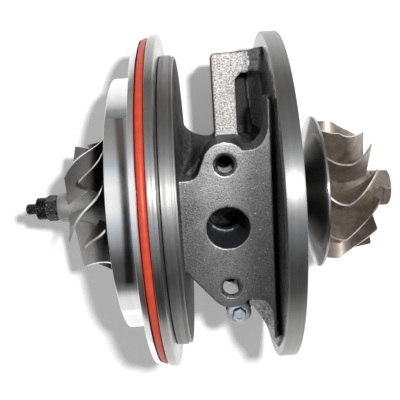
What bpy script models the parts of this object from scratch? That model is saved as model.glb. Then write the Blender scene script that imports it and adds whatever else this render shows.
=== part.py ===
"""Core cartridge of a small diesel turbocharger: bearing housing, rotor, bearings and seals.

Metres, +Z up. The rotor turns about a line along X, compressor end at -X, turbine end at +X,
and the oil drain flange faces +Z. X positions below are counted from the axis of the drain hole;
one empty carries every piece and puts the middle of the lowest rim at the world origin.
"""
import math

import bmesh
import bpy
from mathutils import Matrix, Vector

# General clearances
SEAT_GAP = 0.0003
RUN_GAP = 0.0003
RIM_FACETS = 48
WHEEL_FACETS = 36
BORE_FACETS = 24
SMALL_FACETS = 16

# Bearing housing casting
MOUTH_DISC_RADIUS = 0.0507
MOUTH_DISC_WIDTH = 0.00445
BARREL_LENGTH = 0.0288
BARREL_RADIUS = 0.0225
CASTING_WALL = 0.0045
MOUTH_FILLET_LENGTH = 0.0075
MOUTH_FILLET_RISE = 0.0087
FLANGE_FILLET_LENGTH = 0.0035
FLANGE_FILLET_RISE = 0.004
RIM_RIB_WIDTH = 0.0006
RIM_GROOVE_WIDTH = 0.0007
RIM_GROOVE_DEPTH = 0.0008
DRAIN_TO_TURBINE_FLANGE = 0.0149
TURBINE_FLANGE_RADIUS = 0.0563
TURBINE_FLANGE_WIDTH = 0.0053
TURBINE_BOSS_RADIUS = 0.0216
TURBINE_BOSS_LENGTH = 0.0051
EDGE_CHAMFER = 0.0004
FLANGE_MARK_INSET = 0.0052
FLANGE_MARK_WIDTH = 0.0012
FLANGE_MARK_DEPTH = 0.0004
SHIELD_RECESS_RADIUS = 0.026
SHIELD_RECESS_DEPTH = 0.0005

# Oil drain flange on the housing
DRAIN_FACE_HEIGHT = 0.038
DRAIN_HOLE_RADIUS = 0.0064
DRAIN_PLATE_THICKNESS = 0.008
DRAIN_SLOT_WIDTH = 0.0015
DRAIN_BOLT_SPACING = 0.038
DRAIN_BOLT_HOLE_RADIUS = 0.0026
DRAIN_BOLT_HOLE_DEPTH = 0.013
DRAIN_BOLT_CHAMFER_RADIUS = 0.0037
DRAIN_BOSS_RADIUS = 0.0066
DRAIN_NECK_REACH = 0.0151
DRAIN_NECK_LENGTH = 0.0031
DRAIN_NECK_FILLET = 0.0032
DRAIN_NECK_LOW_REACH = 0.0123
DRAIN_COLUMN_INSET = 0.002
DRAIN_COLUMN_OVERLAP = 0.003
DRAIN_HORN_REACH = 0.0368
DRAIN_HORN_DEPTH = 0.013
DRAIN_HORN_THICKNESS = 0.0008
DRAIN_HORN_CURVE = 0.0075
DRAIN_TIE_THICKNESS = 0.0014
DRAIN_VALLEY_OFFSET = 0.0077
DRAIN_VALLEY_REACH = 0.0231

# Cast lug beside the drain flange
LUG_LEFT = -0.0018
LUG_WIDTH = 0.0076
LUG_REACH = 0.0502
LUG_TOP_HEIGHT = 0.011
LUG_DEPTH = 0.026
LUG_ARM_WIDTH = 0.0066
LUG_ARM_LENGTH = 0.0034
LUG_WEB_THICKNESS = 0.006
LUG_CORNER_RADIUS = 0.0016
LUG_EDGE_ROUND = 0.0006
LUG_INNER_CHAMFER = 0.002
LUG_ROOT_DEPTH = 0.006
LUG_NECK_STEP = 0.004
LUG_NECK_FLARE = 0.0013
LUG_NECK_TAPER = 0.0026
LUG_POCKET_WALL = 0.001
LUG_POCKET_LEDGE = 0.0035

# Oil inlet boss under the housing
INLET_BOSS_RADIUS = 0.0085
INLET_FACE_DEPTH = 0.031
INLET_THREAD_RADIUS = 0.0046
INLET_THREAD_DEPTH = 0.009
FEED_DRILL_RADIUS = 0.0012
FEED_WEB_WIDTH = 0.008

# Bolt in the ear below the drain flange
EAR_X = 0.0028
EAR_Y = -0.038
EAR_RADIUS = 0.0041
EAR_TOP_HEIGHT = 0.015
EAR_LENGTH = 0.02
EAR_WEB_STEP = 0.0015
BOLT_FLANGE_RADIUS = 0.00435
BOLT_FLANGE_THICKNESS = 0.0012
BOLT_HEAD_RADIUS = 0.0031
BOLT_HEAD_HEIGHT = 0.0032
BOLT_SOCKET_RADIUS = 0.0021
BOLT_SOCKET_DEPTH = 0.0022
BOLT_SHANK_RADIUS = 0.002
BOLT_SHANK_LENGTH = 0.012

# Compressor back plate
PLATE_SPIGOT_RADIUS = 0.0441
PLATE_SPIGOT_LENGTH = 0.0088
PLATE_FLANGE_RADIUS = 0.0575
PLATE_LIP_RADIUS = 0.0564
PLATE_LIP_WIDTH = 0.0018
PLATE_RIM_WIDTH = 0.00265
PLATE_HUB_RADIUS = 0.0275
PLATE_HOLLOW_RADIUS = 0.0385
PLATE_WALL = 0.0044
PLATE_SEAL_BORE_RADIUS = 0.0073
PLATE_RECESS_DEPTH = 0.0038
ORING_GROOVE_WIDTH = 0.0028
ORING_THICKNESS = 0.0022
FACE_SEAL_RADIUS = 0.0452
FACE_SEAL_THICKNESS = 0.0015
SCREW_CIRCLE_RADIUS = 0.021
SCREW_COUNT = 4
SCREW_RADIUS = 0.0025
SCREW_HEAD_RADIUS = 0.0042
SCREW_HEAD_HEIGHT = 0.003
SCREW_SOCKET_RADIUS = 0.0018
SCREW_THREAD_LENGTH = 0.0062

# Thrust bearing, oil deflector and their chamber
THRUST_CHAMBER_RADIUS = 0.0156
THRUST_PLATE_THICKNESS = 0.003
THRUST_PLATE_DEPTH = 0.0052
COLLAR_FLANGE_RADIUS = 0.0096
COLLAR_FLANGE_WIDTH = 0.0011
COLLAR_NECK_RADIUS = 0.006
DEFLECTOR_THICKNESS = 0.0008
DEFLECTOR_BORE_RADIUS = 0.0086
FLINGER_RADIUS = 0.0115
FLINGER_WIDTH = 0.0012
SLEEVE_RADIUS = 0.0065
PIN_RADIUS = 0.001
PIN_CIRCLE_RADIUS = 0.0128
PIN_LENGTH = 0.006

# Journal bearings
BUSH_OUTER_RADIUS = 0.0065
BUSH_LENGTH = 0.007
BUSH_SPREAD = 0.017
BUSH_CENTRE = 0.0035
BUSH_OIL_HOLES = 6
BUSH_OIL_HOLE_RADIUS = 0.0008
SNAP_RING_WIDTH = 0.0009
SNAP_RING_INNER_RADIUS = 0.0056
SNAP_GROOVE_RADIUS = 0.0077
SNAP_RING_GAP_ANGLE = 50.0
BEARING_TUBE_RADIUS = 0.0101
CAVITY_CORNER = 0.0025
CAVITY_LEFT = -0.0088
CAVITY_RIGHT = 0.0155
OIL_WINDOW_RADIUS = 0.0018

# Piston rings
PISTON_RING_WIDTH = 0.0012
PISTON_RING_DEPTH = 0.0011

# Shaft
JOURNAL_RADIUS = 0.004
WAIST_RADIUS = 0.0034
SHAFT_NOSE_RADIUS = 0.0025
THREAD_RADIUS = 0.0024
STUB_RADIUS = 0.002
STUB_LENGTH = 0.004
SHAFT_HUB_RADIUS = 0.0082
TURBINE_BORE_RADIUS = 0.009
TURBINE_BORE_DEPTH = 0.0066
OIL_CATCHER_STEP = 0.0022
OIL_CATCHER_WIDTH = 0.0018
PILOT_RADIUS = 0.0035
PILOT_LENGTH = 0.0016

# Nut
NUT_COLLAR_RADIUS = 0.0037
NUT_COLLAR_LENGTH = 0.0037
NUT_HEX_RADIUS = 0.0047
NUT_HEX_LENGTH = 0.0038
NUT_HEX_TURN = -15.0
NUT_RIDGE_COUNT = 3
NUT_RIDGE_DEPTH = 0.0003

# Compressor wheel
COMPRESSOR_NOSE_LENGTH = 0.0045
COMPRESSOR_HUB_LENGTH = 0.0196
COMPRESSOR_HUB_RADIUS = 0.0054
COMPRESSOR_INLET_RADIUS = 0.0216
COMPRESSOR_EXIT_RADIUS = 0.0295
COMPRESSOR_TIP_LENGTH = 0.014
COMPRESSOR_TIP_WIDTH = 0.0014
COMPRESSOR_DISC_THICKNESS = 0.0013
COMPRESSOR_BLADES = 6
COMPRESSOR_WRAP = 46.0
COMPRESSOR_EDGE_LEAN = 12.0
COMPRESSOR_BLADE_ANGLE = -17.7
COMPRESSOR_BLADE_ROOT = 0.0013
COMPRESSOR_BLADE_TIP = 0.0007
SPLITTER_ROOT_START = 0.43
SPLITTER_TIP_START = 0.18
SHROUD_EXPONENT = 2.4

# Turbine wheel
TURBINE_DISC_RADIUS = 0.027
TURBINE_BACK_LENGTH = 0.0047
TURBINE_DISC_THICKNESS = 0.001
TURBINE_INLET_RADIUS = 0.0249
TURBINE_INLET_WIDTH = 0.006
TURBINE_EXIT_RADIUS = 0.0203
TURBINE_SHROUD_EXPONENT = 2.0
TURBINE_BLADE_LENGTH = 0.0173
TURBINE_HUB_END_RADIUS = 0.0072
TURBINE_BLADES = 12
TURBINE_BLADE_ANGLE = 2.2
TURBINE_TURN_PLACE = 0.0058
TURBINE_TURN_RATE = 212800.0
TURBINE_BLADE_ROOT = 0.0013
TURBINE_BLADE_TIP = 0.0007
TURBINE_HEX_RADIUS = 0.007
TURBINE_HEX_TURN = 9.0
TURBINE_HEX_LENGTH = 0.006
TURBINE_NECK_LENGTH = 0.0023
BALANCE_CUT_RADIUS = 0.0013
BALANCE_CUT_DEPTH = 0.0009
BALANCE_CUT_PLACE = 0.0023

# Heat shield
SHIELD_THICKNESS = 0.0008
SHIELD_DEPTH = 0.0065
SHIELD_BORE_RADIUS = 0.0102
SHIELD_CORNER = 0.0012
WHEEL_BACK_CLEARANCE = 0.0007

# Places along the rotor axis, from the drain hole's axis
flange_left = DRAIN_TO_TURBINE_FLANGE
flange_right = flange_left + TURBINE_FLANGE_WIDTH
boss_right = flange_right + TURBINE_BOSS_LENGTH
disc_right = flange_left - BARREL_LENGTH
housing_left = disc_right - MOUTH_DISC_WIDTH
plate_back = housing_left - SEAT_GAP
groove_right = plate_back - PLATE_RIM_WIDTH
groove_left = groove_right - ORING_GROOVE_WIDTH
lip_left = groove_left - PLATE_LIP_WIDTH
plate_front = lip_left - PLATE_SPIGOT_LENGTH
wheel_back = plate_front - WHEEL_BACK_CLEARANCE
hub_front = wheel_back - COMPRESSOR_HUB_LENGTH
nose_front = hub_front - COMPRESSOR_NOSE_LENGTH
nut_back = nose_front - SEAT_GAP
collar_back = nut_back - NUT_HEX_LENGTH
nut_front = collar_back - NUT_COLLAR_LENGTH
stub_front = nut_front - STUB_LENGTH
shield_left = flange_right - SHIELD_RECESS_DEPTH + SEAT_GAP
shield_right = shield_left + SHIELD_DEPTH
turbine_back = shield_right + WHEEL_BACK_CLEARANCE
disc_back = turbine_back + TURBINE_BACK_LENGTH
disc_front = disc_back + TURBINE_DISC_THICKNESS
blade_end = disc_front + TURBINE_BLADE_LENGTH
hex_start = blade_end + TURBINE_NECK_LENGTH
turbine_end = hex_start + TURBINE_HEX_LENGTH
thrust_seat = housing_left + THRUST_PLATE_DEPTH
thrust_right = thrust_seat - SEAT_GAP
thrust_left = thrust_right - THRUST_PLATE_THICKNESS
collar_right = thrust_right + RUN_GAP + COLLAR_FLANGE_WIDTH
collar_left = thrust_left - RUN_GAP - COLLAR_FLANGE_WIDTH
journal_start = collar_right + SEAT_GAP
recess_left = plate_back - PLATE_RECESS_DEPTH
turbine_bore_left = boss_right - TURBINE_BORE_DEPTH
barrel_inside = BARREL_RADIUS - CASTING_WALL
axis_height = PLATE_FLANGE_RADIUS * math.cos(math.pi / RIM_FACETS)

scene = bpy.context.scene
for old in list(bpy.data.objects):
    bpy.data.objects.remove(old)
parts = bpy.data.collections.new("turbo_cartridge")
cutters = bpy.data.collections.new("cutters")
scene.collection.children.link(parts)
scene.collection.children.link(cutters)

cradle = bpy.data.objects.new("cartridge_frame", None)
cradle.location = (-(stub_front + turbine_end) / 2, 0.0, axis_height)
parts.objects.link(cradle)


def finish_colour(name, colour, roughness, metallic):
    """One Principled material."""
    made = bpy.data.materials.new(name)
    made.use_nodes = True
    shader = made.node_tree.nodes["Principled BSDF"]
    shader.inputs["Base Color"].default_value = (*colour, 1.0)
    shader.inputs["Roughness"].default_value = roughness
    shader.inputs["Metallic"].default_value = metallic
    return made


CAST_IRON = finish_colour("cast_iron", (0.13, 0.13, 0.13), 0.55, 0.8)
TURNED_ALUMINIUM = finish_colour("turned_aluminium", (0.75, 0.76, 0.78), 0.25, 1.0)
WHEEL_ALUMINIUM = finish_colour("wheel_aluminium", (0.42, 0.40, 0.38), 0.45, 0.9)
NICKEL_ALLOY = finish_colour("nickel_alloy", (0.38, 0.33, 0.28), 0.4, 0.95)
GROUND_STEEL = finish_colour("ground_steel", (0.5, 0.5, 0.52), 0.3, 1.0)
BLACK_STEEL = finish_colour("black_steel", (0.02, 0.02, 0.022), 0.4, 0.8)
ZINC_STEEL = finish_colour("zinc_steel", (0.6, 0.66, 0.72), 0.25, 1.0)
BRONZE = finish_colour("bronze", (0.55, 0.36, 0.16), 0.35, 1.0)
RED_RUBBER = finish_colour("red_rubber", (0.72, 0.09, 0.05), 0.5, 0.0)
BLACK_RUBBER = finish_colour("black_rubber", (0.02, 0.02, 0.02), 0.6, 0.0)
SHEET_STEEL = finish_colour("sheet_steel", (0.32, 0.32, 0.33), 0.35, 1.0)


def place(name, mesh, material):
    """A new object under the cartridge's frame."""
    made = bpy.data.objects.new(name, mesh)
    parts.objects.link(made)
    made.parent = cradle
    if material is not None:
        mesh.materials.append(material)
    return made


def as_cutter(shape):
    """Move a shape to the hidden collection of tools."""
    parts.objects.unlink(shape)
    cutters.objects.link(shape)
    shape.hide_render = True
    shape.display_type = "WIRE"
    return shape


def apply_boolean(body, tool, operation):
    """Exact Boolean of one body with one tool, kept as a modifier."""
    as_cutter(tool)
    step = body.modifiers.new(tool.name, "BOOLEAN")
    step.operation = operation
    step.solver = "EXACT"
    step.object = tool


def cut(body, *tools):
    for tool in tools:
        apply_boolean(body, tool, "DIFFERENCE")


def fuse(body, *tools):
    for tool in tools:
        apply_boolean(body, tool, "UNION")


def turned(name, profile, facets, material=None):
    """Revolve a profile of (x, radius) points about the rotor axis.

    A profile that ends on the axis is open, any other is a closed loop.
    A facet, not a corner, faces straight down.
    """
    area = sum(a[0] * b[1] - b[0] * a[1] for a, b in zip(profile, profile[1:] + profile[:1]))
    points = profile if area > 0.0 else profile[::-1]
    half_facet = math.pi / facets
    mesh = bpy.data.meshes.new(name)
    rings = [(x, r * math.cos(half_facet), r * math.sin(half_facet)) for x, r in points]
    edges = [(i, i + 1) for i in range(len(rings) - 1)]
    if points[0][1] > 0.0:
        edges.append((len(rings) - 1, 0))
    mesh.from_pydata(rings, edges, [])
    made = place(name, mesh, material)
    screw = made.modifiers.new("turn", "SCREW")
    screw.axis = "X"
    screw.angle = 2.0 * math.pi
    screw.steps = facets
    screw.render_steps = facets
    screw.use_merge_vertices = True
    screw.merge_threshold = 0.00001
    screw.use_smooth_shade = False
    return made


def rod(name, start, end, radius, facets=SMALL_FACETS, material=None, tip_radius=None, turn=0.0):
    """A straight bar, drill or cone between two points, turned by some degrees about itself."""
    start, end = Vector(start), Vector(end)
    mesh = bpy.data.meshes.new(name)
    shape = bmesh.new()
    bmesh.ops.create_cone(shape, cap_ends=True, segments=facets, radius1=radius,
                          radius2=radius if tip_radius is None else tip_radius,
                          depth=(end - start).length, matrix=Matrix.Rotation(math.radians(-turn), 4, "Z"))
    shape.to_mesh(mesh)
    shape.free()
    made = place(name, mesh, material)
    made.location = (start + end) / 2
    made.rotation_mode = "QUATERNION"
    made.rotation_quaternion = (end - start).to_track_quat("Z", "Y")
    return made


def block(name, low, high, material=None):
    """A box between two corners."""
    mesh = bpy.data.meshes.new(name)
    shape = bmesh.new()
    bmesh.ops.create_cube(shape, size=1.0)
    size = Vector(high) - Vector(low)
    bmesh.ops.scale(shape, vec=size, verts=shape.verts)
    shape.to_mesh(mesh)
    shape.free()
    made = place(name, mesh, material)
    made.location = (Vector(low) + Vector(high)) / 2
    return made


def arc(centre, radius, start, end, count):
    """Points on an arc, angles in degrees."""
    angles = [math.radians(start + (end - start) * i / count) for i in range(count + 1)]
    return [(centre[0] + radius * math.cos(a), centre[1] + radius * math.sin(a)) for a in angles]


def outline_solid(name, points, low, high, material=None):
    """Extrude a flat outline in X and Y from one height to another."""
    curve = bpy.data.curves.new(name, "CURVE")
    curve.dimensions = "2D"
    curve.fill_mode = "BOTH"
    curve.extrude = (high - low) / 2
    spline = curve.splines.new("POLY")
    spline.points.add(len(points) - 1)
    for point, (x, y) in zip(spline.points, points):
        point.co = (x, y, 0.0, 1.0)
    spline.use_cyclic_u = True
    drawn = bpy.data.objects.new(name + "_outline", curve)
    parts.objects.link(drawn)
    drawn.location = (0.0, 0.0, (low + high) / 2)
    bpy.context.view_layer.update()
    evaluated = drawn.evaluated_get(bpy.context.evaluated_depsgraph_get())
    mesh = bpy.data.meshes.new_from_object(evaluated)
    matrix = drawn.matrix_world.copy()
    bpy.data.objects.remove(drawn)
    shape = bmesh.new()
    shape.from_mesh(mesh)
    bmesh.ops.remove_doubles(shape, verts=shape.verts, dist=0.000001)
    bmesh.ops.recalc_face_normals(shape, faces=shape.faces)
    shape.to_mesh(mesh)
    shape.free()
    mesh.name = name
    made = place(name, mesh, material)
    made.matrix_local = matrix
    return made


def bearing_housing():
    """The iron casting with its bores, oil passages, drain flange and cast lugs."""
    chamfer = EDGE_CHAMFER
    mouth, flange = MOUTH_DISC_RADIUS, TURBINE_FLANGE_RADIUS
    rib_left = disc_right - RIM_RIB_WIDTH
    groove_start = rib_left - RIM_GROOVE_WIDTH
    mark = flange - FLANGE_MARK_INSET
    profile = [
        (housing_left, 0.0),
        (housing_left, mouth - chamfer),
        (housing_left + chamfer, mouth),
        (groove_start, mouth),
        (groove_start, mouth - RIM_GROOVE_DEPTH),
        (rib_left, mouth - RIM_GROOVE_DEPTH),
        (rib_left, mouth - chamfer),
        (disc_right, mouth - chamfer),
    ]
    profile += hollow_corner(disc_right, MOUTH_FILLET_LENGTH, MOUTH_FILLET_RISE)
    profile += hollow_corner(flange_left, -FLANGE_FILLET_LENGTH, FLANGE_FILLET_RISE)[::-1]
    profile += [
        (flange_left, mark - FLANGE_MARK_WIDTH),
        (flange_left + FLANGE_MARK_DEPTH, mark - FLANGE_MARK_WIDTH / 2),
        (flange_left, mark),
        (flange_left, flange - chamfer),
        (flange_left + chamfer, flange),
        (flange_right - chamfer, flange),
        (flange_right, flange - chamfer),
        (flange_right, SHIELD_RECESS_RADIUS),
        (flange_right - SHIELD_RECESS_DEPTH, SHIELD_RECESS_RADIUS),
        (flange_right - SHIELD_RECESS_DEPTH, TURBINE_BOSS_RADIUS),
        (boss_right - chamfer, TURBINE_BOSS_RADIUS),
        (boss_right, TURBINE_BOSS_RADIUS - chamfer),
        (boss_right, 0.0),
    ]
    body = turned("bearing_housing", profile, RIM_FACETS, CAST_IRON)
    fuse(body, drain_column(), drain_plate(), cast_lug(), bolt_ear(), inlet_boss())
    cut(body, lug_pocket(), oil_cavity())
    feed_left, feed_right = journal_centres()
    half = FEED_WEB_WIDTH / 2
    inside = (BUSH_OUTER_RADIUS + BEARING_TUBE_RADIUS) / 2
    web = block("feed_web", (feed_left, -half, -barrel_inside - RUN_GAP), (feed_right, half, -inside))
    fuse(body, web)
    cut(body, bearing_bore(), *drain_holes(), *feed_drills(), *oil_windows(), *screw_holes())
    cut(body, *pin_holes("housing_pin_hole"))
    return body


def hollow_corner(face, length, rise):
    """Fillet points between a face across the barrel and the barrel, face first."""
    swings = [math.radians(30.0 * step) for step in range(4)]
    return [(face + length * (1.0 - math.cos(swing)), BARREL_RADIUS + rise * (1.0 - math.sin(swing)))
            for swing in swings]


def journal_centres():
    half = BUSH_SPREAD / 2
    return BUSH_CENTRE - half, BUSH_CENTRE + half


def drain_horn():
    """Half outline of the flange from the valley beside a bolt boss to the horn's tip."""
    right = flange_left - DRAIN_SLOT_WIDTH
    horn_left = right - DRAIN_HORN_THICKNESS
    corner = horn_left - DRAIN_VALLEY_OFFSET
    points = [(DRAIN_VALLEY_OFFSET, DRAIN_VALLEY_REACH)]
    for step in range(1, 6):
        swing = math.radians(90 * step / 5)
        points.append((DRAIN_VALLEY_OFFSET + corner * math.sin(swing),
                       DRAIN_VALLEY_REACH + DRAIN_HORN_CURVE * (1 - math.cos(swing))))
    return points + [(horn_left, DRAIN_HORN_REACH), (right, DRAIN_HORN_REACH)]


def drain_outline():
    """Outline of the drain flange: hollowed to the one bolt boss, straight to the other."""
    bolt_y = DRAIN_BOLT_SPACING / 2
    left = disc_right - SEAT_GAP
    hollow = (disc_right + DRAIN_NECK_LENGTH, DRAIN_NECK_REACH + DRAIN_NECK_FILLET)
    points = [(left, DRAIN_NECK_REACH)]
    points += arc(hollow, DRAIN_NECK_FILLET, 270, 340, 3)
    points += arc((0.0, bolt_y), DRAIN_BOSS_RADIUS, 150, 35, 7)
    points += drain_horn()
    points += [(x, -y) for x, y in reversed(drain_horn())]
    points += arc((0.0, -bolt_y), DRAIN_BOSS_RADIUS, 325, 220, 7)
    return points + [(left, -DRAIN_NECK_LOW_REACH)]


def drain_plate():
    """The machined flange for the oil drain pipe, with its two thin horns."""
    low = DRAIN_FACE_HEIGHT - DRAIN_HORN_DEPTH
    plate = outline_solid("drain_plate", drain_outline(), low, DRAIN_FACE_HEIGHT)
    for side, sign in (("upper", 1), ("lower", -1)):
        inner = sign * (DRAIN_HORN_REACH - DRAIN_TIE_THICKNESS / 2)
        outer = sign * (DRAIN_HORN_REACH + DRAIN_TIE_THICKNESS / 2)
        tie = block("horn_tie_" + side,
                    (flange_left - DRAIN_SLOT_WIDTH - DRAIN_HORN_THICKNESS, min(inner, outer), low),
                    (flange_left + SEAT_GAP, max(inner, outer), DRAIN_FACE_HEIGHT))
        fuse(plate, tie)
    return plate


def drain_column():
    """The cast neck between the barrel and the drain flange."""
    left, right = disc_right - SEAT_GAP, flange_left - DRAIN_SLOT_WIDTH - SEAT_GAP
    half = DRAIN_BOLT_SPACING / 2 + DRAIN_COLUMN_OVERLAP
    corner = DRAIN_BOSS_RADIUS
    beside = half - corner
    points = [(left, DRAIN_NECK_REACH - DRAIN_COLUMN_INSET)]
    points += arc((-corner / 2, beside), corner, 150, 90, 4)
    points += arc((right - corner, beside), corner, 90, 0, 4)
    points += arc((right - corner, -beside), corner, 360, 270, 4)
    points += arc((-corner / 2, -beside), corner, 270, 240, 2)
    points.append((left, DRAIN_COLUMN_INSET - DRAIN_NECK_LOW_REACH))
    top = DRAIN_FACE_HEIGHT - DRAIN_PLATE_THICKNESS
    return outline_solid("drain_column", points, 0.0, top)


def cast_lug():
    """The L-shaped cast arm between the barrel and the turbine flange."""
    left, right = LUG_LEFT, LUG_LEFT + LUG_WIDTH
    reach = LUG_REACH
    corner = LUG_CORNER_RADIUS
    inner = BARREL_RADIUS - LUG_ROOT_DEPTH
    bend = reach - LUG_ARM_WIDTH
    chamfer = LUG_INNER_CHAMFER
    bar_points = [(left, inner), (right, inner), (right, bend - chamfer), (right + chamfer, bend)]
    bar_points += [(right + LUG_ARM_LENGTH, bend), (right + LUG_ARM_LENGTH, reach)]
    bar_points += arc((left + corner, reach - corner), corner, 90, 180, 4)
    low = LUG_TOP_HEIGHT - LUG_DEPTH
    bar = outline_solid("lug_bar", bar_points, low, LUG_TOP_HEIGHT)
    rounding = bar.modifiers.new("cast_edges", "BEVEL")
    rounding.width = LUG_EDGE_ROUND
    rounding.segments = 2
    rounding.limit_method = "ANGLE"
    rounding.angle_limit = math.radians(50)
    neck_left, neck_right = right + LUG_ARM_LENGTH - chamfer, flange_left + SEAT_GAP
    taper, flare = LUG_NECK_TAPER, LUG_NECK_FLARE
    neck = outline_solid("lug_neck", [
        (neck_left, bend + LUG_EDGE_ROUND), (neck_right - taper, bend), (neck_right, bend - flare),
        (neck_right, reach + flare), (neck_right - taper, reach + flare / 2),
        (neck_left, reach - LUG_EDGE_ROUND),
    ], low + chamfer / 2, LUG_TOP_HEIGHT - LUG_NECK_STEP)
    web = outline_solid("lug_web", [
        (left + corner, inner), (flange_left + SEAT_GAP, inner),
        (flange_left + SEAT_GAP, reach), (left + corner, reach - LUG_EDGE_ROUND),
    ], low + LUG_EDGE_ROUND, low + LUG_WEB_THICKNESS)
    fuse(bar, neck, web)
    return bar


def lug_pocket():
    """A shallow cast relief that thins the lug's web, with a ledge along the flange."""
    left = LUG_LEFT + LUG_WIDTH + LUG_POCKET_WALL
    low = LUG_TOP_HEIGHT - LUG_DEPTH + LUG_WEB_THICKNESS - LUG_POCKET_WALL
    far = LUG_REACH - LUG_ARM_WIDTH - LUG_INNER_CHAMFER
    return block("lug_pocket", (left, BARREL_RADIUS + FLANGE_FILLET_RISE, low),
                 (flange_left - LUG_POCKET_LEDGE, far, LUG_TOP_HEIGHT))


def bolt_ear():
    """The cast ear that holds the flanged bolt."""
    low = EAR_TOP_HEIGHT - EAR_LENGTH
    ear = rod("bolt_ear", (EAR_X, EAR_Y, low), (EAR_X, EAR_Y, EAR_TOP_HEIGHT), EAR_RADIUS)
    web = block("ear_web", (EAR_X - EAR_RADIUS, EAR_Y, low + EAR_WEB_STEP),
                (EAR_X + EAR_RADIUS, LUG_ROOT_DEPTH - BARREL_RADIUS, EAR_TOP_HEIGHT - EAR_WEB_STEP))
    fuse(ear, web)
    hole = rod("ear_thread", (EAR_X, EAR_Y, EAR_TOP_HEIGHT - BOLT_SHANK_LENGTH - 2 * SEAT_GAP),
               (EAR_X, EAR_Y, EAR_TOP_HEIGHT + SEAT_GAP), BOLT_SHANK_RADIUS + SEAT_GAP)
    cut(ear, hole)
    return ear


def inlet_boss():
    """The round boss for the oil feed pipe."""
    return rod("inlet_boss", (BUSH_CENTRE, 0.0, -INLET_FACE_DEPTH), (BUSH_CENTRE, 0.0, CASTING_WALL / 2 - BARREL_RADIUS),
               INLET_BOSS_RADIUS, BORE_FACETS)


def oil_cavity():
    """The drain space round the bearing tube, open to the drain hole."""
    slope = CAVITY_CORNER
    return turned("oil_cavity", [
        (CAVITY_LEFT, BEARING_TUBE_RADIUS),
        (CAVITY_LEFT, barrel_inside - slope),
        (CAVITY_LEFT + slope, barrel_inside),
        (CAVITY_RIGHT - slope, barrel_inside),
        (CAVITY_RIGHT, barrel_inside - slope),
        (CAVITY_RIGHT, BEARING_TUBE_RADIUS),
    ], BORE_FACETS)


def snap_ring_places():
    """Left faces of the four rings, one on each side of each journal bearing."""
    places = []
    for centre in journal_centres():
        places.append(centre - BUSH_LENGTH / 2 - RUN_GAP - SNAP_RING_WIDTH)
        places.append(centre + BUSH_LENGTH / 2 + RUN_GAP)
    return places


def bearing_bore():
    """The stepped bore: thrust chamber, bearing bore with ring grooves, turbine seal bore."""
    bore = BUSH_OUTER_RADIUS + RUN_GAP
    profile = [
        (housing_left - SEAT_GAP, 0.0),
        (housing_left - SEAT_GAP, THRUST_CHAMBER_RADIUS),
        (thrust_seat, THRUST_CHAMBER_RADIUS),
        (thrust_seat, COLLAR_FLANGE_RADIUS + 3 * RUN_GAP),
        (collar_right + RUN_GAP, COLLAR_FLANGE_RADIUS + 3 * RUN_GAP),
        (collar_right + RUN_GAP, bore),
    ]
    for left in snap_ring_places():
        right = left + SNAP_RING_WIDTH + SEAT_GAP
        left = left - SEAT_GAP
        profile += [(left, bore), (left, SNAP_GROOVE_RADIUS), (right, SNAP_GROOVE_RADIUS), (right, bore)]
    catcher = TURBINE_BORE_RADIUS + OIL_CATCHER_STEP
    profile += [
        (turbine_bore_left, bore),
        (turbine_bore_left, catcher),
        (turbine_bore_left + OIL_CATCHER_WIDTH, catcher),
        (turbine_bore_left + OIL_CATCHER_WIDTH, TURBINE_BORE_RADIUS),
        (boss_right + SEAT_GAP, TURBINE_BORE_RADIUS),
        (boss_right + SEAT_GAP, 0.0),
    ]
    return turned("bearing_bore", profile, BORE_FACETS)


def drain_holes():
    """The drain hole and the two threaded holes beside it."""
    top = DRAIN_FACE_HEIGHT
    above = top + SEAT_GAP
    tools = [rod("drain_hole", (0.0, 0.0, BEARING_TUBE_RADIUS + SEAT_GAP), (0.0, 0.0, above),
                 DRAIN_HOLE_RADIUS, WHEEL_FACETS)]
    for side, sign in (("upper", 1), ("lower", -1)):
        y = sign * DRAIN_BOLT_SPACING / 2
        tools.append(rod("drain_thread_" + side, (0.0, y, top - DRAIN_BOLT_HOLE_DEPTH), (0.0, y, above),
                         DRAIN_BOLT_HOLE_RADIUS))
        sink = DRAIN_BOLT_CHAMFER_RADIUS - DRAIN_BOLT_HOLE_RADIUS
        tools.append(rod("drain_countersink_" + side, (0.0, y, top - sink), (0.0, y, above),
                         DRAIN_BOLT_HOLE_RADIUS, tip_radius=DRAIN_BOLT_CHAMFER_RADIUS + SEAT_GAP))
    return tools


def feed_drills():
    """The threaded inlet and the drillings from it to the two journal bearings."""
    face = -INLET_FACE_DEPTH
    floor = face + INLET_THREAD_DEPTH
    tools = [rod("inlet_thread", (BUSH_CENTRE, 0.0, face - SEAT_GAP), (BUSH_CENTRE, 0.0, floor),
                 INLET_THREAD_RADIUS)]
    for side, x in zip(("compressor", "turbine"), journal_centres()):
        tools.append(rod("feed_drill_" + side, (BUSH_CENTRE, 0.0, floor - FEED_DRILL_RADIUS),
                         (x, 0.0, -BUSH_OUTER_RADIUS), FEED_DRILL_RADIUS, 10))
    return tools


def oil_windows():
    """Openings through which oil leaves the thrust chamber and the turbine seal bore."""
    left_height = (THRUST_CHAMBER_RADIUS + COLLAR_FLANGE_RADIUS) / 2
    right_height = BEARING_TUBE_RADIUS + OIL_WINDOW_RADIUS / 2
    return [
        rod("thrust_window", (thrust_right - SEAT_GAP, 0.0, left_height),
            (CAVITY_LEFT + OIL_WINDOW_RADIUS, 0.0, left_height), OIL_WINDOW_RADIUS, 12),
        rod("turbine_window", (CAVITY_RIGHT - OIL_WINDOW_RADIUS, 0.0, right_height),
            (turbine_bore_left + OIL_CATCHER_WIDTH / 2, 0.0, right_height), OIL_WINDOW_RADIUS / 2, 12),
    ]


def around(radius, angle):
    """Y and Z on a circle round the rotor axis, angle in degrees from +Z towards +Y."""
    turn = math.radians(angle)
    return radius * math.sin(turn), radius * math.cos(turn)


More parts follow.
